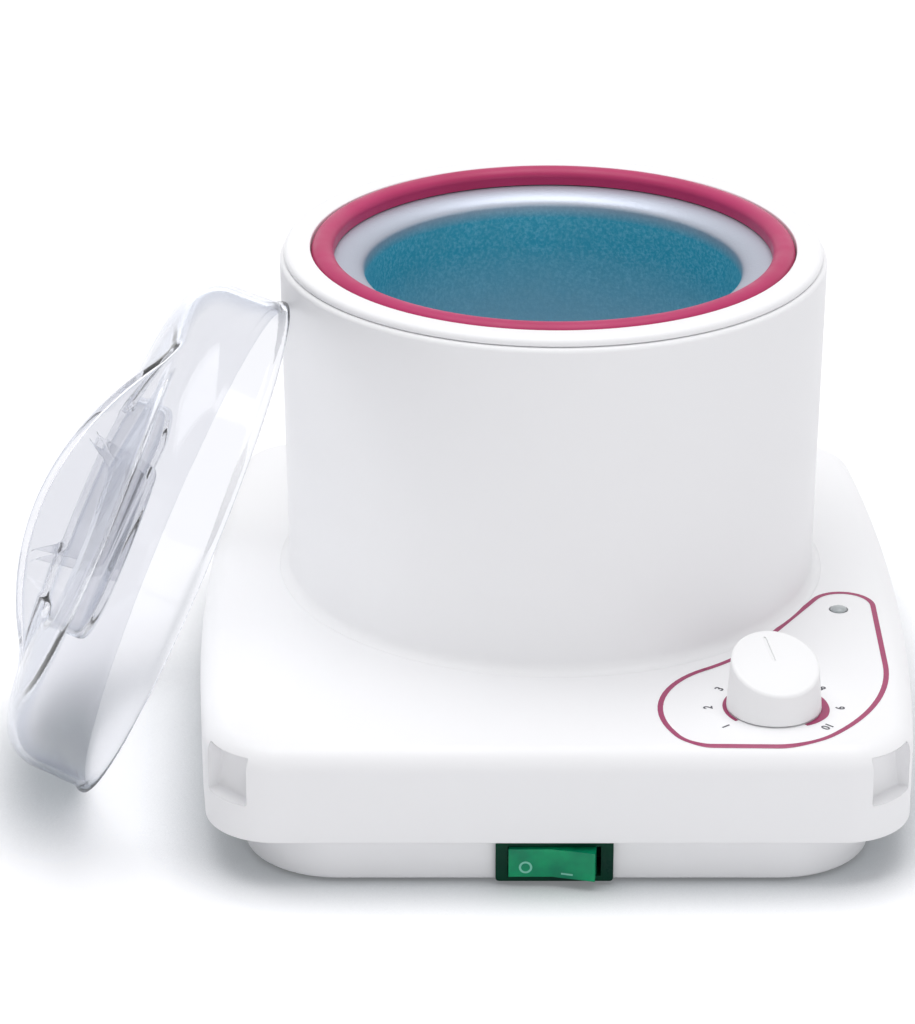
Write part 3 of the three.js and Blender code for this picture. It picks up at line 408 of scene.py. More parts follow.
def corner_centre(side, end):
    y = -body_front + body_corner if end < 0 else body_back - body_corner
    reach = body_side_radius - body_corner
    x = body_half_width - body_side_radius + math.sqrt(reach**2 - (y - body_middle) ** 2)
    return side * x, y


def pocket_tool(side, end, grow=0.0):
    """A finger pocket's space, which points along the corner's diagonal, grown on its sides and back."""
    x, y = corner_centre(side, end)
    turn = Matrix.Rotation(math.atan2(end, side), 3, "Z")
    rings = []
    for depth, z in [(pocket_depth_bottom, pocket_bottom - grow), (pocket_depth_top, pocket_top + grow / 2)]:
        inner, outer = body_corner - depth - grow, body_corner + pocket_overrun
        half = pocket_width / 2 + grow
        flat = [(inner, -half), (outer, -half), (outer, half), (inner, half)]
        rings.append([tuple(turn @ Vector((a, b, z)) + Vector((x, y, 0))) for a, b in flat])
    return soften(loft("pocket_tool", rings, None), pocket_edge_round, 3, crisp_angle)


def outer_rings():
    """Levels of the base body's outside, from its foot up to the rounded top edge."""
    rings = [body_plan(0, body_bottom)]
    for angle in quarter_turn:
        inset = body_fillet * (1 - math.cos(angle))
        rings.append(body_plan(inset, body_top - body_fillet * (1 - math.sin(angle))))
    return rings


def inner_rings():
    """Levels of the base body's hollow, from under its open foot up to the top plate's underside."""
    plate_under = body_top - body_wall
    inner_fillet = body_fillet - body_wall
    rings = [body_plan(body_wall, body_bottom - body_wall)]
    for angle in quarter_turn:
        inset = body_wall + inner_fillet * (1 - math.cos(angle))
        rings.append(body_plan(inset, plate_under - inner_fillet * (1 - math.sin(angle))))
    return rings


def make_base_body():
    base = loft("base_body", outer_rings(), "warmer")
    hollow = loft("hollow_tool", inner_rings(), None)
    pockets = [(side, end) for side in (-1, 1) for end in (-1, 1)]
    cut(hollow, *[pocket_tool(side, end, pocket_lining) for side, end in pockets])
    gland = rod(gland_hole_radius, -gland_cut, gland_cut)
    backwards = Matrix.Rotation(math.pi / 2, 4, "X")
    gland.data.transform(Matrix.Translation((0, body_back * mm, gland_height * mm)) @ backwards)
    tools = [pocket_tool(side, end) for side, end in pockets]
    tools.append(rod(barrel_foot_radius - barrel_wall, *plate_cut, (0, 0), round_steps))
    tools.append(rod(shaft_hole_radius, *plate_cut, knob_centre))
    tools.append(rod(lamp_hole_radius, *plate_cut, lamp_centre))
    cut(base, hollow, *tools, gland)
    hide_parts("upper_housing")
    return smooth(base, crisp_angle)


def mirrored(places):
    return [(side * x, y) for side in (-1, 1) for x, y in places]


def make_tray():
    """The bottom tray: a skirt with round corners, an inner flange, posts, recesses and vents."""
    edge = skirt_edge_round
    rings = [skirt_plan(edge * (1 - math.sin(a)), edge * (1 - math.cos(a))) for a in quarter_turn]
    rings.append(skirt_plan(0, tray_top))
    tray = loft("tray", rings, "warmer")
    flange_levels = [body_plan(body_wall + seat_gap, z) for z in (tray_flange_low, tray_top)]
    combine(tray, loft("flange", flange_levels, None), "UNION")
    inside_levels = [skirt_plan(skirt_wall, z) for z in (tray_floor, tray_top + edge)]
    cut(tray, loft("inside_tool", inside_levels, None))
    for place in mirrored(boss_places):
        combine(tray, rod(tray_post_radius, edge, tray_top, place), "UNION")
        screw_hole = rod(screw_hole_radius, -edge, tray_top + edge, place)
        cut(tray, screw_hole, rod(counterbore_radius, -edge, counterbore_depth, place))
    for place in mirrored(foot_places):
        combine(tray, rod(foot_recess_radius + skirt_wall, edge, 2 * tray_floor, place), "UNION")
        cut(tray, rod(foot_recess_radius, -edge, foot_recess_depth, place))
    vent_size = (vent_width, vent_length, -edge, tray_floor + edge)
    for i in range(vent_count):
        x = (i - (vent_count - 1) / 2) * vent_pitch
        for y in (-vent_offset, vent_offset):
            cut(tray, rounded_box("vent_tool", *vent_size, vent_width / 2 - box_flat, (x, y)))
    width, height = switch_window
    window_size = (width, 4 * skirt_wall, switch_z - height / 2, switch_z + height / 2)
    window_place = (switch_x, skirt_front_inset - body_front)
    cut(tray, rounded_box("window_tool", *window_size, switch_window_corner, window_place))
    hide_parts("bottom_tray")
    return smooth(tray, crisp_angle)


def make_barrel():
    top = cap_top - cap_edge_height - seat_gap
    rim = barrel_rim_round
    foot = barrel_foot_round
    low = body_top - barrel_foot_sink
    profile = [(barrel_foot_radius - barrel_wall, low), (barrel_foot_radius + foot, low)]
    profile += [
        (barrel_foot_radius + foot - foot * math.sin(a), low + foot - foot * math.cos(a))
        for a in quarter_turn
    ]
    profile += arc((barrel_radius - rim, top - rim), (rim, rim), 0, 90)
    profile += [(barrel_radius - barrel_wall, top), (barrel_radius - barrel_wall, top - cap_spigot)]
    barrel = turned("barrel", profile, "warmer")
    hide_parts("housing_barrel")
    return smooth(barrel)


def make_cap():
    spigot = barrel_radius - barrel_wall - seat_gap
    ledge_top = flange_top - flange_thickness - seat_gap
    ledge_under = ledge_top - cap_ledge_thickness
    inner = spigot - cap_spigot_wall
    edge = cap_step_round
    profile = [(cap_radius, cap_top - cap_edge_height)]
    profile += arc((cap_radius - cap_round, cap_top - cap_round), (cap_round, cap_round), 0, 90)
    profile += arc((cap_step_radius + edge, cap_top - edge), (edge, edge), 90, 180, cap_step_steps)
    profile += [(cap_step_radius, ledge_top), (cap_ledge_radius, ledge_top), (cap_ledge_radius, ledge_under)]
    profile += [(inner, ledge_under), (inner, cap_top - cap_spigot), (spigot, cap_top - cap_spigot)]
    profile += [(spigot, cap_top - cap_edge_height)]
    cap = turned("cap", profile, "warmer")
    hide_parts("top_cap")
    return smooth(cap)


def make_ring():
    low = flange_top + seat_gap
    high = cap_top + ring_crest
    middle = (ring_radius + ring_inner_radius) / 2
    half = (ring_radius - ring_inner_radius) / 2
    profile = [(ring_inner_radius, low), (ring_radius, low)]
    profile += arc((middle, high - ring_round), (half, ring_round), 0, 180, ring_steps)
    ring = turned("ring", profile, "warmer")
    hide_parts("trim_ring")
    return smooth(ring)


def make_well():
    lip_low = flange_top - well_lip_height
    under = flange_top - flange_thickness
    outer = well_radius + well_wall
    corner = (well_foot_radius - well_corner, well_floor + well_corner)
    profile = [(0, well_floor - well_wall)]
    profile += arc(corner, (well_corner + well_wall,) * 2, -90, 0)
    for a in quarter_turn:
        radius = well_lip_radius - (well_lip_radius - outer) * math.cos(a)
        profile.append((radius, under - well_lip_height + well_lip_height * math.sin(a)))
    profile += [(well_flange_radius, under), (well_flange_radius, flange_top)]
    for a in quarter_turn:
        radius = well_lip_radius - (well_lip_radius - well_radius) * math.sin(a)
        profile.append((radius, lip_low + well_lip_height * math.cos(a)))
    profile += reversed(arc(corner, (well_corner,) * 2, -90, 0))
    profile += [(0, well_floor)]
    well = turned("well", profile, "warmer")
    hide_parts("heating_well")
    return smooth(well)


# Knob
def make_knob():
    """The dial knob, its top sloping up towards the pointer, with a cavity over the thermostat's nut."""
    slope = (knob_high_height - knob_low_height) / (2 * knob_top_radius)
    middle = (knob_high_height + knob_low_height) / 2

    def ring(radius, drop, level=None):
        points = []
        for i in range(knob_steps):
            x, y = circle_point((0, 0), radius, 2 * math.pi * i / knob_steps)
            points.append((x, y, level if level is not None else middle + slope * x - drop))
        return points

    rings = [ring(knob_radius - knob_foot_round, 0, seat_gap)]
    rings.append(ring(knob_radius, 0, seat_gap + knob_foot_round))
    for angle in quarter_turn:
        out = knob_top_radius - knob_round * (1 - math.cos(angle))
        rings.append(ring(out, knob_round * (1 - math.sin(angle))))
    made = loft("dial_knob", rings, "dial")
    cavity = rod(knob_cavity_radius, -knob_cut_margin, knob_cavity_height, (0, 0), knob_cavity_steps)
    groove_size = (pointer_length, pointer_width, -pointer_depth, pointer_cut_top)
    groove_place = (pointer_start + pointer_length / 2, 0)
    groove = rounded_box("groove_tool", *groove_size, pointer_width / 2 - box_flat, groove_place)
    tilt = Matrix.Rotation(-math.atan(slope), 4, "Y")
    groove.data.transform(Matrix.Translation((0, 0, middle * mm)) @ tilt)
    cut(made, cavity, groove)
    place = Matrix.Translation(Vector((*knob_centre, body_top)) * mm)
    made.data.transform(place @ Matrix.Rotation(math.radians(knob_pointer_angle), 4, "Z"))
    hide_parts("knob")
    return smooth(made, crisp_angle)


# Lid
def smooth_min(a, b, width):
    blend = np.clip(0.5 + 0.5 * (b - a) / width, 0, 1)
    return b + (a - b) * blend - width * blend * (1 - blend)


def smooth_max(a, b, width):
    return -smooth_min(-a, -b, width)


def lid_form(s, t, h, inset=0.0):
    """Signed form of the lid, negative inside, at s along its ridge, t across and h up.

    The form runs on below its foot. An inset gives the form of its hollow.
    """
    radius = np.sqrt(s**2 + t**2)
    wall = lid_radius - lid_lip - inset - lid_shoulder_inset * np.clip(h / lid_wall_height, 0, 1)
    centre = lid_radius - lid_lip - lid_shoulder_inset - lid_shoulder_width - inset / 2
    height = lid_shoulder_height - inset
    out = np.maximum(radius - centre, 0) / (wall - centre)
    crown = lid_crown * np.clip(1 - (radius / centre) ** 2, 0, 1)
    up = np.maximum(h - lid_wall_height, 0) / (height + crown)
    power = lid_shoulder_fullness
    form = ((out**power + up**power) ** (1 / power) - 1) * lid_shoulder_height
    if not inset:
        lip = smooth_max(radius - lid_radius, h - lid_lip_height, lid_lip_round)
        form = smooth_min(form, lip, lid_lip_round)
    peak = lid_wall_height + lid_shoulder_height + lid_crown + lid_crest
    half = lid_ridge_half_width - inset
    curve = lid_ridge_sag / (lid_ridge_half_width * half) * (1 - (inset / lid_ridge_half_width) ** 2)
    arch = peak - inset - lid_arch_radius + np.sqrt(lid_arch_radius**2 - np.minimum(s**2, lid_arch_reach**2))
    ridge = (h - arch + curve * t**2) / np.sqrt(1 + (2 * curve * t) ** 2)
    ridge = smooth_max(ridge, np.abs(s) - lid_ridge_half_length + inset, lid_ridge_end_round)
    form = smooth_min(form, ridge, lid_blend)
    floor = lid_scoop_floor - inset
    share = np.clip((h - floor - lid_floor_round) / (peak - floor - lid_floor_round), 0, 1)
    grip = lid_grip_foot + (lid_grip_top - lid_grip_foot) * share - inset
    length = lid_scoop_half_length + inset + lid_scoop_flare * share
    reach = lid_scoop_reach + 2 * inset + lid_scoop_flare * share
    side = np.abs(t)
    oval = np.sqrt((s / length) ** 2 + (np.maximum(side - grip, 0) / reach) ** 2)
    scoop = smooth_max((oval - 1) * length, grip - side, lid_edge_round)
    scoop = smooth_max(scoop, floor - h, lid_floor_round)
    return smooth_max(form, -scoop, lid_edge_round)


def lid_shell(points):
    """Signed form of the lid's shell, open at its foot."""
    s, t, h = points.T
    shell = smooth_max(lid_form(s, t, h), -lid_form(s, t, h, lid_wall), lid_rim_round)
    return smooth_max(shell, -h, lid_rim_round)


def surface_net(form, low, high, step, batches=12):
    """Points and quads on a form's zero surface, from one point for each grid cell that it crosses."""
    axes = [np.arange(a, b + step, step) for a, b in zip(low, high)]
    shape = tuple(len(axis) for axis in axes)
    grid = np.stack(np.meshgrid(*axes, indexing="ij"), -1).reshape(-1, 3)
    value = np.concatenate([form(part) for part in np.array_split(grid, batches)]).reshape(shape)
    inside = value < 0
    total = np.zeros(tuple(n - 1 for n in shape) + (3,))
    count = np.zeros(tuple(n - 1 for n in shape))
    crossings = []
    for axis in range(3):
        head = [slice(None)] * 3
        tail = [slice(None)] * 3
        head[axis], tail[axis] = slice(0, -1), slice(1, None)
        a, b = value[tuple(head)], value[tuple(tail)]
        flip = inside[tuple(head)] != inside[tuple(tail)]
        where = np.argwhere(flip)
        share = a[flip] / (a[flip] - b[flip])
        point = where.astype(float)
        point[:, axis] += share
        crossings.append((axis, where, inside[tuple(head)][flip]))
        others = [k for k in range(3) if k != axis]
        for i in (0, -1):
            for j in (0, -1):
                cell = where.copy()
                cell[:, others[0]] += i
                cell[:, others[1]] += j
                kept = np.all((cell >= 0) & (cell < np.array(total.shape[:3])), axis=1)
                index = tuple(cell[kept].T)
                np.add.at(total, index, point[kept])
                np.add.at(count, index, 1)
    used = count > 0
    number = np.full(count.shape, -1)
    number[used] = np.arange(used.sum())
    points = total[used] / count[used][:, None] * step + np.array(low)
    faces = []
    for axis, where, start_inside in crossings:
        u, v = [(1, 2), (2, 0), (0, 1)][axis]
        kept = np.all(where[:, [u, v]] > 0, axis=1)
        where, start_inside = where[kept], start_inside[kept]
        corners = []
        for i, j in [(-1, -1), (0, -1), (0, 0), (-1, 0)]:
            cell = where.copy()
            cell[:, u] += i
            cell[:, v] += j
            corners.append(number[tuple(cell.T)])
        quads = np.stack(corners, 1)
        quads[~start_inside] = quads[~start_inside][:, ::-1]
        faces.append(quads)
    return points, np.concatenate(faces)


def slope_of(form, points, step=0.02):
    """The form's slope at each point."""
    shifts = np.eye(3) * step
    return np.stack([(form(points + shift) - form(points - shift)) / (2 * step) for shift in shifts], 1)


def settle(form, points, rounds=4, least_slope=0.2, longest=0.4):
    """Moves points along the form's slope onto its zero surface."""
    for _ in range(rounds):
        slope = slope_of(form, points)
        size = np.maximum((slope**2).sum(1), least_slope)
        move = slope * (form(points) / size)[:, None]
        length = np.maximum(np.linalg.norm(move, axis=1, keepdims=True), 1e-9)
        points = points - move * np.minimum(1, longest / length)
    return points


def smooth_by_form(made, form):
    """Takes a mesh's shading normals from the form that it was made from."""
    mesh = made.data
    flat = np.empty(3 * len(mesh.vertices))
    mesh.vertices.foreach_get("co", flat)
    slope = slope_of(form, flat.reshape(-1, 3) / mm)
    slope /= np.maximum(np.linalg.norm(slope, axis=1, keepdims=True), 1e-9)
    mesh.polygons.foreach_set("use_smooth", [True] * len(mesh.polygons))
    mesh.normals_split_custom_set_from_vertices(slope.tolist())


def lid_place():
    """Where the leaning lid stands, taken from its CAD box."""
    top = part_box("lid")[1].x / mm
    rise = lid_radius * math.sin(lid_lean)
    centre = Vector((top - rise, lid_y, floor_level + lid_radius * math.cos(lid_lean)))
    lean = Matrix.Rotation(-math.pi / 2 + lid_lean, 4, "Y")
    return Matrix.Translation(centre * mm) @ lean @ Matrix.Rotation(-lid_spin, 4, "Z")


def make_lid():
    reach = lid_radius + 2 * lid_grid
    peak = lid_wall_height + lid_shoulder_height + lid_crown + lid_crest + 2 * lid_grid
    low, high = (-reach, -reach, -2 * lid_grid), (reach, reach, peak)
    points, faces = surface_net(lid_shell, low, high, lid_grid)
    points = settle(lid_shell, points)
    lid = mesh_object("clear_lid", points.tolist(), faces.tolist(), "lid")
    smooth_by_form(lid, lid_shell)
    lid.data.transform(lid_place())
    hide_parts("lid")
    return lid


# Print on the top plate
def edge_distance(x, y):
    """How far a point of the top plate's front right part lies inside the base body's outline."""
    centre_x, centre_y = corner_centre(1, -1)
    if x > centre_x and y < centre_y:
        return body_corner - math.hypot(x - centre_x, y - centre_y)
    side = body_side_radius - math.hypot(x - body_half_width + body_side_radius, y - body_middle)
    return min(side, y + body_front)


def surface_height(x, y):
    """Height of the top plate and of its rounded edge."""
    over = max(0.0, body_fillet - edge_distance(x, y))
    return body_top - body_fillet + math.sqrt(max(0.0, body_fillet**2 - over**2))


def ribbon(name, line, width, across=4):
    """A closed flat printed line that lies on the housing."""
    points, faces = [], []
    count = len(line)
    for i, (x, y) in enumerate(line):
        before, after = line[i - 1], line[(i + 1) % count]
        along = Vector((after[0] - before[0], after[1] - before[1])).normalized()
        for k in range(across + 1):
            shift = (k / across - 0.5) * width
            px, py = x - along.y * shift, y + along.x * shift
            points.append((px, py, surface_height(px, py) + skin))
    row = across + 1
    for i in range(count):
        for k in range(across):
            a, b = row * i + k, row * ((i + 1) % count) + k
            faces.append((a, a + 1, b + 1, b))
    return mesh_object(name, points, faces, "warmer")


def rounded_line(corners, steps):
    """A closed smooth line through rounded corners, each given as (x, y, radius)."""
    line = []
    count = len(corners)
    for i, (x, y, radius) in enumerate(corners):
        here = Vector((x, y))
        before = (Vector(corners[i - 1][:2]) - here).normalized()
        after = (Vector(corners[(i + 1) % count][:2]) - here).normalized()
        half = before.angle(after) / 2
        reach = radius / math.tan(half)
        start, end = here + before * reach, here + after * reach
        middle = here + (before + after).normalized() * (radius / math.sin(half))
        a = math.atan2(start.y - middle.y, start.x - middle.x)
        b = math.atan2(end.y - middle.y, end.x - middle.x)
        turn = (b - a + math.pi) % (2 * math.pi) - math.pi
        for k in range(steps + 1):
            line.append(circle_point(middle, radius, a + turn * k / steps))
    return line


def dial_point(radius, degrees):
    return circle_point(knob_centre, radius, math.radians(degrees))


def make_dial_scale():
    """The magenta band round the knob, which swells towards its high end and closes to a tip there."""
    points, faces = [], []
    for i in range(scale_steps + 1):
        share = i / scale_steps
        degrees = scale_start + (scale_end - scale_start) * share
        width = scale_low_width + scale_swell * share**2 * min(1, (1 - share) / scale_tip)
        for radius in (scale_inner_radius, scale_inner_radius + width):
            points.append((*dial_point(radius, degrees), body_top + skin))
    for i in range(scale_steps):
        faces.append((2 * i, 2 * i + 1, 2 * i + 3, 2 * i + 2))
    return mesh_object("dial_scale", points, faces, "warmer")


def make_digits():
    """The numbers 1 to 10 round the dial, each standing radially."""
    made = []
    for number, degrees in enumerate(digit_angles, 1):
        font = bpy.data.curves.new(f"digit_{number}", "FONT")
        font.body = str(number)
        font.size = digit_size * mm
        font.align_x = "CENTER"
        font.align_y = "CENTER"
        font.extrude = digit_relief * mm
        font.offset = digit_weight * mm
        digit = bpy.data.objects.new(f"digit_{number}", font)
        bpy.context.scene.collection.objects.link(digit)
        x, y = dial_point(digit_circle, degrees)
        digit.location = Vector((x, y, body_top + skin)) * mm
        digit.rotation_euler = (0, 0, math.radians(degrees - 90))
        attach(digit, "warmer")
        made.append(digit)
    return made


# Print on the rocker
def rocker_point(x, z):
    """A point just in front of the rocker at rest: its left face is upright, its right face tilts out."""
    out = max(0.0, x - rocker_fold) * math.tan(rocker_tilt)
    return x, -rocker_face - out - skin, z


def make_switch_marks():
    """A ring for off and a bar for on, printed on the rocker's two faces."""
    points, faces = [], []
    for i in range(off_mark_steps):
        angle = 2 * math.pi * i / off_mark_steps
        for radius in off_mark_radii:
            points.append(rocker_point(*circle_point(off_mark_centre, radius, angle)))
        j = (i + 1) % off_mark_steps
        faces.append((2 * i, 2 * i + 1, 2 * j + 1, 2 * j))
    ring = mesh_object("off_mark", points, faces, "rocker")
    (left, low), (right, high) = on_mark_low, on_mark_high
    corners = [(left, low), (right, low), (right, high), (left, high)]
    bar = mesh_object("on_mark", [rocker_point(*corner) for corner in corners], [(0, 1, 2, 3)], "rocker")
    return [ring, bar]


# Materials
class Look:
    """A node material with a principled shader and helpers for its detail."""

    def __init__(self, name, colour, roughness, **sockets):
        self.material = bpy.data.materials.new(name)
        self.material.use_nodes = True
        self.nodes = self.material.node_tree.nodes
        self.links = self.material.node_tree.links
        self.shader = self.nodes["Principled BSDF"]
        self.colour = colour
        self.shader.inputs["Base Color"].default_value = (*colour, 1)
        self.shader.inputs["Roughness"].default_value = roughness
        for socket, value in sockets.items():
            self.shader.inputs[socket.replace("_", " ")].default_value = value
        self.coordinates = self.nodes.new("ShaderNodeTexCoord").outputs["Object"]
        self.normal = None

    def noise(self, scale, detail=3.0, roughness=0.5):
        node = self.nodes.new("ShaderNodeTexNoise")
        node.inputs["Scale"].default_value = scale
        node.inputs["Detail"].default_value = detail
        node.inputs["Roughness"].default_value = roughness
        self.links.new(self.coordinates, node.inputs["Vector"])
        return node.outputs["Fac"]

    def ramp(self, value, low, high, from_min=0.3, from_max=0.7):
        node = self.nodes.new("ShaderNodeMapRange")
        limits = {"From Min": from_min, "From Max": from_max, "To Min": low, "To Max": high}
        for socket, number in limits.items():
            node.inputs[socket].default_value = number
        self.links.new(value, node.inputs["Value"])
        return node.outputs["Result"]

    def vary_roughness(self, scale, low, high):
        self.links.new(self.ramp(self.noise(scale), low, high), self.shader.inputs["Roughness"])

    def vary_colour(self, factor, other, low=0.0, high=1.0, from_min=0.3, from_max=0.7):
        mix = self.nodes.new("ShaderNodeMix")
        mix.data_type = "RGBA"
        source = self.shader.inputs["Base Color"]
        if source.is_linked:
            self.links.new(source.links[0].from_socket, mix.inputs[6])
        else:
            mix.inputs[6].default_value = (*self.colour, 1)
        mix.inputs[7].default_value = (*other, 1)
        self.links.new(self.ramp(factor, low, high, from_min, from_max), mix.inputs[0])
        self.links.new(mix.outputs[2], source)

    def rounded_edges(self, radius):
        node = self.nodes.new("ShaderNodeBevel")
        node.samples = 6
        node.inputs["Radius"].default_value = radius * mm
        self.normal = node.outputs["Normal"]
        self.links.new(self.normal, self.shader.inputs["Normal"])

    def bump(self, height, distance, strength):
        node = self.nodes.new("ShaderNodeBump")
        node.inputs["Distance"].default_value = distance * mm
        node.inputs["Strength"].default_value = strength
        self.links.new(height, node.inputs["Height"])
        if self.normal:
            self.links.new(self.normal, node.inputs["Normal"])
        self.normal = node.outputs["Normal"]
        self.links.new(self.normal, self.shader.inputs["Normal"])

    def worn_edges(self, other, strength):
        pointed = self.nodes.new("ShaderNodeNewGeometry").outputs["Pointiness"]
        self.vary_colour(pointed, other, 0.0, strength, 0.52, 0.62)


def white_plastic(name, colour, roughness):
    """Moulded white plastic with faint flow marks, a fine grain and soft edges."""
    look = Look(name, colour, roughness, Specular_IOR_Level=0.25)
    look.vary_colour(look.noise(6, 2), tuple(0.975 * value for value in colour), 0, 0.8, 0.2, 0.8)
    look.vary_roughness(60, roughness - 0.04, roughness + 0.06)
    look.rounded_edges(0.35)
    look.bump(look.noise(1800, 2), 0.01, 0.2)
    return look.material


def magenta_plastic():
    look = Look("magenta_plastic", (0.48, 0.033, 0.135), 0.45, Specular_IOR_Level=0.3)
    look.vary_colour(look.noise(30, 4), (0.4, 0.024, 0.1), 0, 0.8)
    look.vary_roughness(90, 0.34, 0.5)
    look.bump(look.noise(1500, 2), 0.012, 0.3)
    return look.material


def well_metal():
    """Grainy teal coating inside the well, with a painted sheen that makes it paler deep down, and that
    fades to bare anodised metal on the lip.
    """
    look = Look("well_metal", (0.02, 0.37, 0.53), 0.5, Specular_IOR_Level=0.5)
    grain = look.noise(900, 3, 0.7)
    look.vary_colour(grain, (0.2, 0.62, 0.76), 0, 0.85, 0.42, 0.68)
    look.vary_colour(look.noise(28, 4), (0.07, 0.36, 0.48), 0, 0.5)
    height = look.nodes.new("ShaderNodeSeparateXYZ")
    look.links.new(look.coordinates, height.inputs[0])
    # Painted sheen: the coating turns paler and greyer deeper in the well, standing in for light reflected
    # there
    deep, shallow = [(flange_top - depth) * mm for depth in well_painted_sheen_depths]
    look.vary_colour(height.outputs["Z"], (0.42, 0.62, 0.72), 0.75, 0.0, deep, shallow)
    lip_start, lip_end = [(flange_top - depth) * mm for depth in well_lip_depths]
    look.vary_colour(height.outputs["Z"], (0.42, 0.45, 0.52), 0, 1, lip_start, lip_end)
    metal = look.ramp(height.outputs["Z"], 0.2, 0.75, lip_start, lip_end)
    look.links.new(metal, look.shader.inputs["Metallic"])
    look.bump(grain, 0.12, 0.8)
    return look.material


def clear_plastic():
    """Clear moulded plastic with a faint haze that turns blue-grey where it is seen edge on."""
    sockets = {"Transmission_Weight": 1.0, "IOR": 1.04, "Coat_Weight": 0.45, "Coat_Roughness": 0.08}
    look = Look("clear_plastic", (0.855, 0.86, 0.88), 0.06, **sockets)
    weight = look.nodes.new("ShaderNodeLayerWeight")
    weight.inputs["Blend"].default_value = 0.5
    look.vary_colour(weight.outputs["Facing"], (0.46, 0.51, 0.62), 0, 1, 0.6, 1.0)
    look.vary_roughness(25, 0.04, 0.09)
    look.bump(look.noise(18, 2), 0.15, 0.08)
    return look.material


def lamp_plastic():
    look = Look("lamp_plastic", (0.46, 0.49, 0.5), 0.3, Coat_Weight=0.2)
    look.vary_colour(look.noise(700, 2), (0.36, 0.39, 0.4))
    look.bump(look.noise(900, 2), 0.05, 0.3)
    return look.material


def switch_frame_plastic():
    look = Look("switch_frame_plastic", (0.001, 0.042, 0.02), 0.4, Specular_IOR_Level=0.1)
    look.vary_colour(look.noise(120, 3), (0.002, 0.03, 0.02))
    look.vary_roughness(200, 0.25, 0.4)
    look.rounded_edges(0.3)
    look.bump(look.noise(1600, 2), 0.02, 0.3)
    return look.material


def rocker_plastic():
    """Translucent green plastic, lighter where it is thin."""
    look = Look("rocker_plastic", (0.003, 0.34, 0.14), 0.22, Specular_IOR_Level=0.2, Coat_Weight=0.08)
    look.shader.inputs["Subsurface Weight"].default_value = 0.25
    look.shader.inputs["Subsurface Radius"].default_value = (0.001, 0.004, 0.002)
    look.vary_colour(look.noise(150, 3), (0.002, 0.19, 0.1), 0, 0.9)
    look.rounded_edges(0.4)
    look.bump(look.noise(300, 2), 0.03, 0.4)
    return look.material


def print_ink(name, colour, other):
    look = Look(name, colour, 0.4)
    look.vary_colour(look.noise(700, 3), other, 0, 0.7)
    return look.material


def matt_plastic(name, colour, other):
    look = Look(name, colour, 0.55)
    look.vary_colour(look.noise(60, 4), other, 0, 0.8)
    look.vary_roughness(140, 0.45, 0.68)
    look.rounded_edges(0.25)
    look.bump(look.noise(1400, 3), 0.03, 0.6)
    return look.material


def rubber():
    look = Look("foot_rubber", (0.03, 0.03, 0.032), 0.8)
    look.vary_colour(look.noise(90, 4), (0.07, 0.07, 0.07), 0, 0.8)
    look.rounded_edges(0.3)
    look.bump(look.noise(900, 3), 0.05, 0.7)
    return look.material


def metal(name, colour, other, low, high):
    """Plated sheet or turned metal with rolling lines, tarnish and bright edges."""
    look = Look(name, colour, low, Metallic=1.0)
    look.vary_colour(look.noise(45, 5), other, 0, 0.8)
    look.vary_roughness(220, low, high)
    look.worn_edges(tuple(min(1, value * 1.3) for value in colour), 0.7)
    look.rounded_edges(0.2)
    look.bump(look.noise(1100, 4, 0.7), 0.012, 0.7)
    return look.material


def felt():
    look = Look("felt", (0.62, 0.56, 0.44), 0.95, Sheen_Weight=0.4)
    look.vary_colour(look.noise(500, 5, 0.7), (0.42, 0.37, 0.28), 0, 0.9)
    look.bump(look.noise(900, 5, 0.75), 0.4, 0.9)
    return look.material


def paint(made, material):
    made.data.materials.clear()
    made.data.materials.append(material)


# Frame nodes that keep their CAD shape
def dress_node(name, material):
    """Gives a CAD node its material, with smooth round faces and crisp edges."""
    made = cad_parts[name]
    made.data.polygons.foreach_set("use_smooth", [True] * len(made.data.polygons))
    made.modifiers.new("weld", "WELD").merge_threshold = weld_distance * mm
    split = made.modifiers.new("edges", "EDGE_SPLIT")
    split.split_angle = math.radians(node_edge_angle)
    paint(made, material)


def dress_frame():
    steel = metal("zinc_steel", (0.55, 0.56, 0.58), (0.42, 0.43, 0.44), 0.28, 0.45)
    copper = metal("copper", (0.62, 0.3, 0.16), (0.4, 0.18, 0.1), 0.25, 0.42)
    mica = matt_plastic("mica", (0.4, 0.29, 0.15), (0.3, 0.2, 0.1))
    black = matt_plastic("black_plastic", (0.02, 0.02, 0.022), (0.035, 0.035, 0.037))
    ivory = matt_plastic("ivory_plastic", (0.72, 0.67, 0.54), (0.62, 0.57, 0.45))
    looks = {
        "heater_band": mica,
        "insulation_sleeve": felt(),
        "sensor_bulb": copper,
        "thermal_cutout": steel,
        "cord_gland": black,
        "gland_nut": black,
        "terminal_block": ivory,
        "thermostat_body": black,
        "lamp_holder": black,
        "indicator_lens": lamp_plastic(),
        "switch_housing": switch_frame_plastic(),
        "switch_rocker": rocker_plastic(),
    }
    foot = rubber()
    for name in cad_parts:
        if name.startswith("foot_"):
            looks[name] = foot
        elif name.startswith("switch_terminal_"):
            looks[name] = copper
        looks.setdefault(name, steel)
    replaced = {"upper_housing", "housing_barrel", "bottom_tray", "top_cap"}
    replaced |= {"trim_ring", "heating_well", "knob", "lid"}
    for name, look in looks.items():
        if name not in replaced:
            dress_node(name, look)


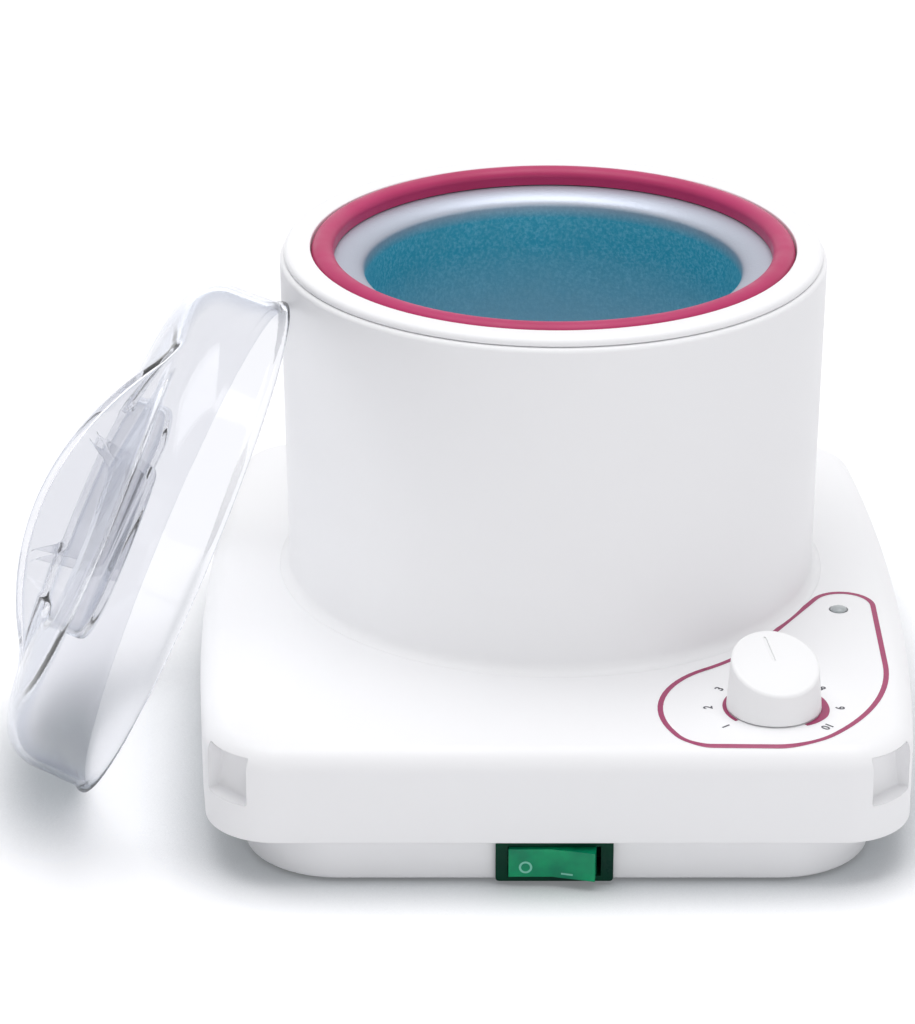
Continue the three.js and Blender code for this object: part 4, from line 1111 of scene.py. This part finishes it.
# Light, floor and camera
def show_when_seen(tree, plain, seen, output):
    """Gives one shader to the camera, to reflections and through clear pieces, and another to the rest."""
    path = tree.nodes.new("ShaderNodeLightPath")
    share = path.outputs["Is Camera Ray"]
    for kind in ("Is Glossy Ray", "Is Transmission Ray"):
        either = tree.nodes.new("ShaderNodeMath")
        either.operation = "MAXIMUM"
        tree.links.new(share, either.inputs[0])
        tree.links.new(path.outputs[kind], either.inputs[1])
        share = either.outputs[0]
    mix = tree.nodes.new("ShaderNodeMixShader")
    for socket, source in zip(mix.inputs, (share, plain, seen)):
        tree.links.new(source, socket)
    tree.links.new(mix.outputs[0], tree.nodes[output].inputs["Surface"])


def make_world():
    world = bpy.data.worlds.new("studio")
    bpy.context.scene.world = world
    world.use_nodes = True
    plain = world.node_tree.nodes["Background"]
    plain.inputs["Color"].default_value = (0.97, 0.97, 1.0, 1)
    plain.inputs["Strength"].default_value = 0.48
    white = world.node_tree.nodes.new("ShaderNodeBackground")
    white.inputs["Color"].default_value = (1, 1, 1, 1)
    white.inputs["Strength"].default_value = 1.0
    show_when_seen(world.node_tree, plain.outputs[0], white.outputs[0], "World Output")


def make_floor():
    """Pale paper with a soft contact shade, which glows faintly near the object and turns white far off."""
    mesh = bpy.data.meshes.new("floor")
    signs = [(-1, -1), (1, -1), (1, 1), (-1, 1)]
    corners = [Vector((floor_half * a, floor_half * b, floor_level)) * mm for a, b in signs]
    mesh.from_pydata(corners, [], [(0, 1, 2, 3)])
    floor = bpy.data.objects.new("floor", mesh)
    bpy.context.scene.collection.objects.link(floor)
    look = Look("floor_paper", (0.93, 0.93, 0.94), 0.7, Specular_IOR_Level=0.15)
    look.vary_colour(look.noise(3, 3), (0.92, 0.92, 0.93), 0, 0.5)
    shade = look.nodes.new("ShaderNodeAmbientOcclusion")
    shade.samples = 8
    shade.inputs["Distance"].default_value = floor_shade_reach * mm
    look.vary_colour(shade.outputs["AO"], (0.3, 0.33, 0.35), 1.0, 0.0, 0.3, 0.88)
    glow = look.nodes.new("ShaderNodeEmission")
    glow.inputs["Color"].default_value = (0.97, 0.98, 1, 1)
    length = look.nodes.new("ShaderNodeVectorMath")
    length.operation = "LENGTH"
    look.links.new(look.coordinates, length.inputs[0])
    near, far = [reach * mm for reach in floor_glow_reach]
    look.links.new(look.ramp(length.outputs["Value"], 0.15, 1.0, near, far), glow.inputs["Strength"])
    add = look.nodes.new("ShaderNodeAddShader")
    look.links.new(look.shader.outputs[0], add.inputs[0])
    look.links.new(glow.outputs[0], add.inputs[1])
    show_when_seen(look.material.node_tree, look.shader.outputs[0], add.outputs[0], "Material Output")
    paint(floor, look.material)


def area_light(name, place, size, power, aim=(0, 0, 0.07)):
    """A soft lamp, placed and sized in metres, that faces the object."""
    data = bpy.data.lights.new(name, "AREA")
    data.shape = "RECTANGLE"
    data.size, data.size_y = size
    data.energy = power
    light = bpy.data.objects.new(name, data)
    light.location = place
    light.rotation_euler = (Vector(aim) - Vector(place)).to_track_quat("-Z", "Y").to_euler()
    bpy.context.scene.collection.objects.link(light)


def make_lights():
    area_light("top_light", (-0.05, 0.1, 1.9), (1.6, 1.4), 24)
    area_light("left_window", (-1.15, -0.75, 0.75), (0.5, 0.9), 0.1)
    area_light("right_fill", (1.2, -0.6, 0.6), (0.9, 0.9), 0.9)
    area_light("front_fill", (0.4, -1.55, 0.4), (1.2, 0.6), 2.7)


def make_camera():
    data = bpy.data.cameras.new("camera")
    data.lens = camera_lens
    data.sensor_width = camera_sensor
    camera = bpy.data.objects.new("camera", data)
    camera.location = Vector(camera_place) * mm
    camera.rotation_euler = (math.radians(90 - camera_down), 0, 0)
    bpy.context.scene.collection.objects.link(camera)
    bpy.context.scene.camera = camera


def main():
    bpy.context.scene.view_settings.view_transform = "Standard"
    white = white_plastic("housing_plastic", (0.9, 0.9, 0.91), 0.36)
    magenta = magenta_plastic()
    ink = print_ink("grey_ink", (0.06, 0.06, 0.075), (0.1, 0.1, 0.12))
    purple = print_ink("magenta_ink", (0.36, 0.03, 0.12), (0.28, 0.03, 0.11))
    mark_ink = print_ink("mark_ink", (0.19, 0.56, 0.42), (0.14, 0.48, 0.36))
    dress_frame()
    for made in (make_base_body(), make_barrel(), make_cap(), make_tray()):
        paint(made, white)
    ring = make_ring()
    paint(ring, magenta)
    well = make_well()
    paint(well, well_metal())
    knob = make_knob()
    paint(knob, white_plastic("knob_plastic", (0.89, 0.89, 0.895), 0.4))
    lid = make_lid()
    paint(lid, clear_plastic())
    outline = rounded_line(panel_corners, panel_corner_steps)
    for made in (ribbon("panel_line", outline, panel_line_width), make_dial_scale()):
        paint(made, purple)
    for digit in make_digits():
        paint(digit, ink)
    for mark in make_switch_marks():
        paint(mark, mark_ink)
    make_world()
    make_floor()
    make_lights()
    make_camera()


main()
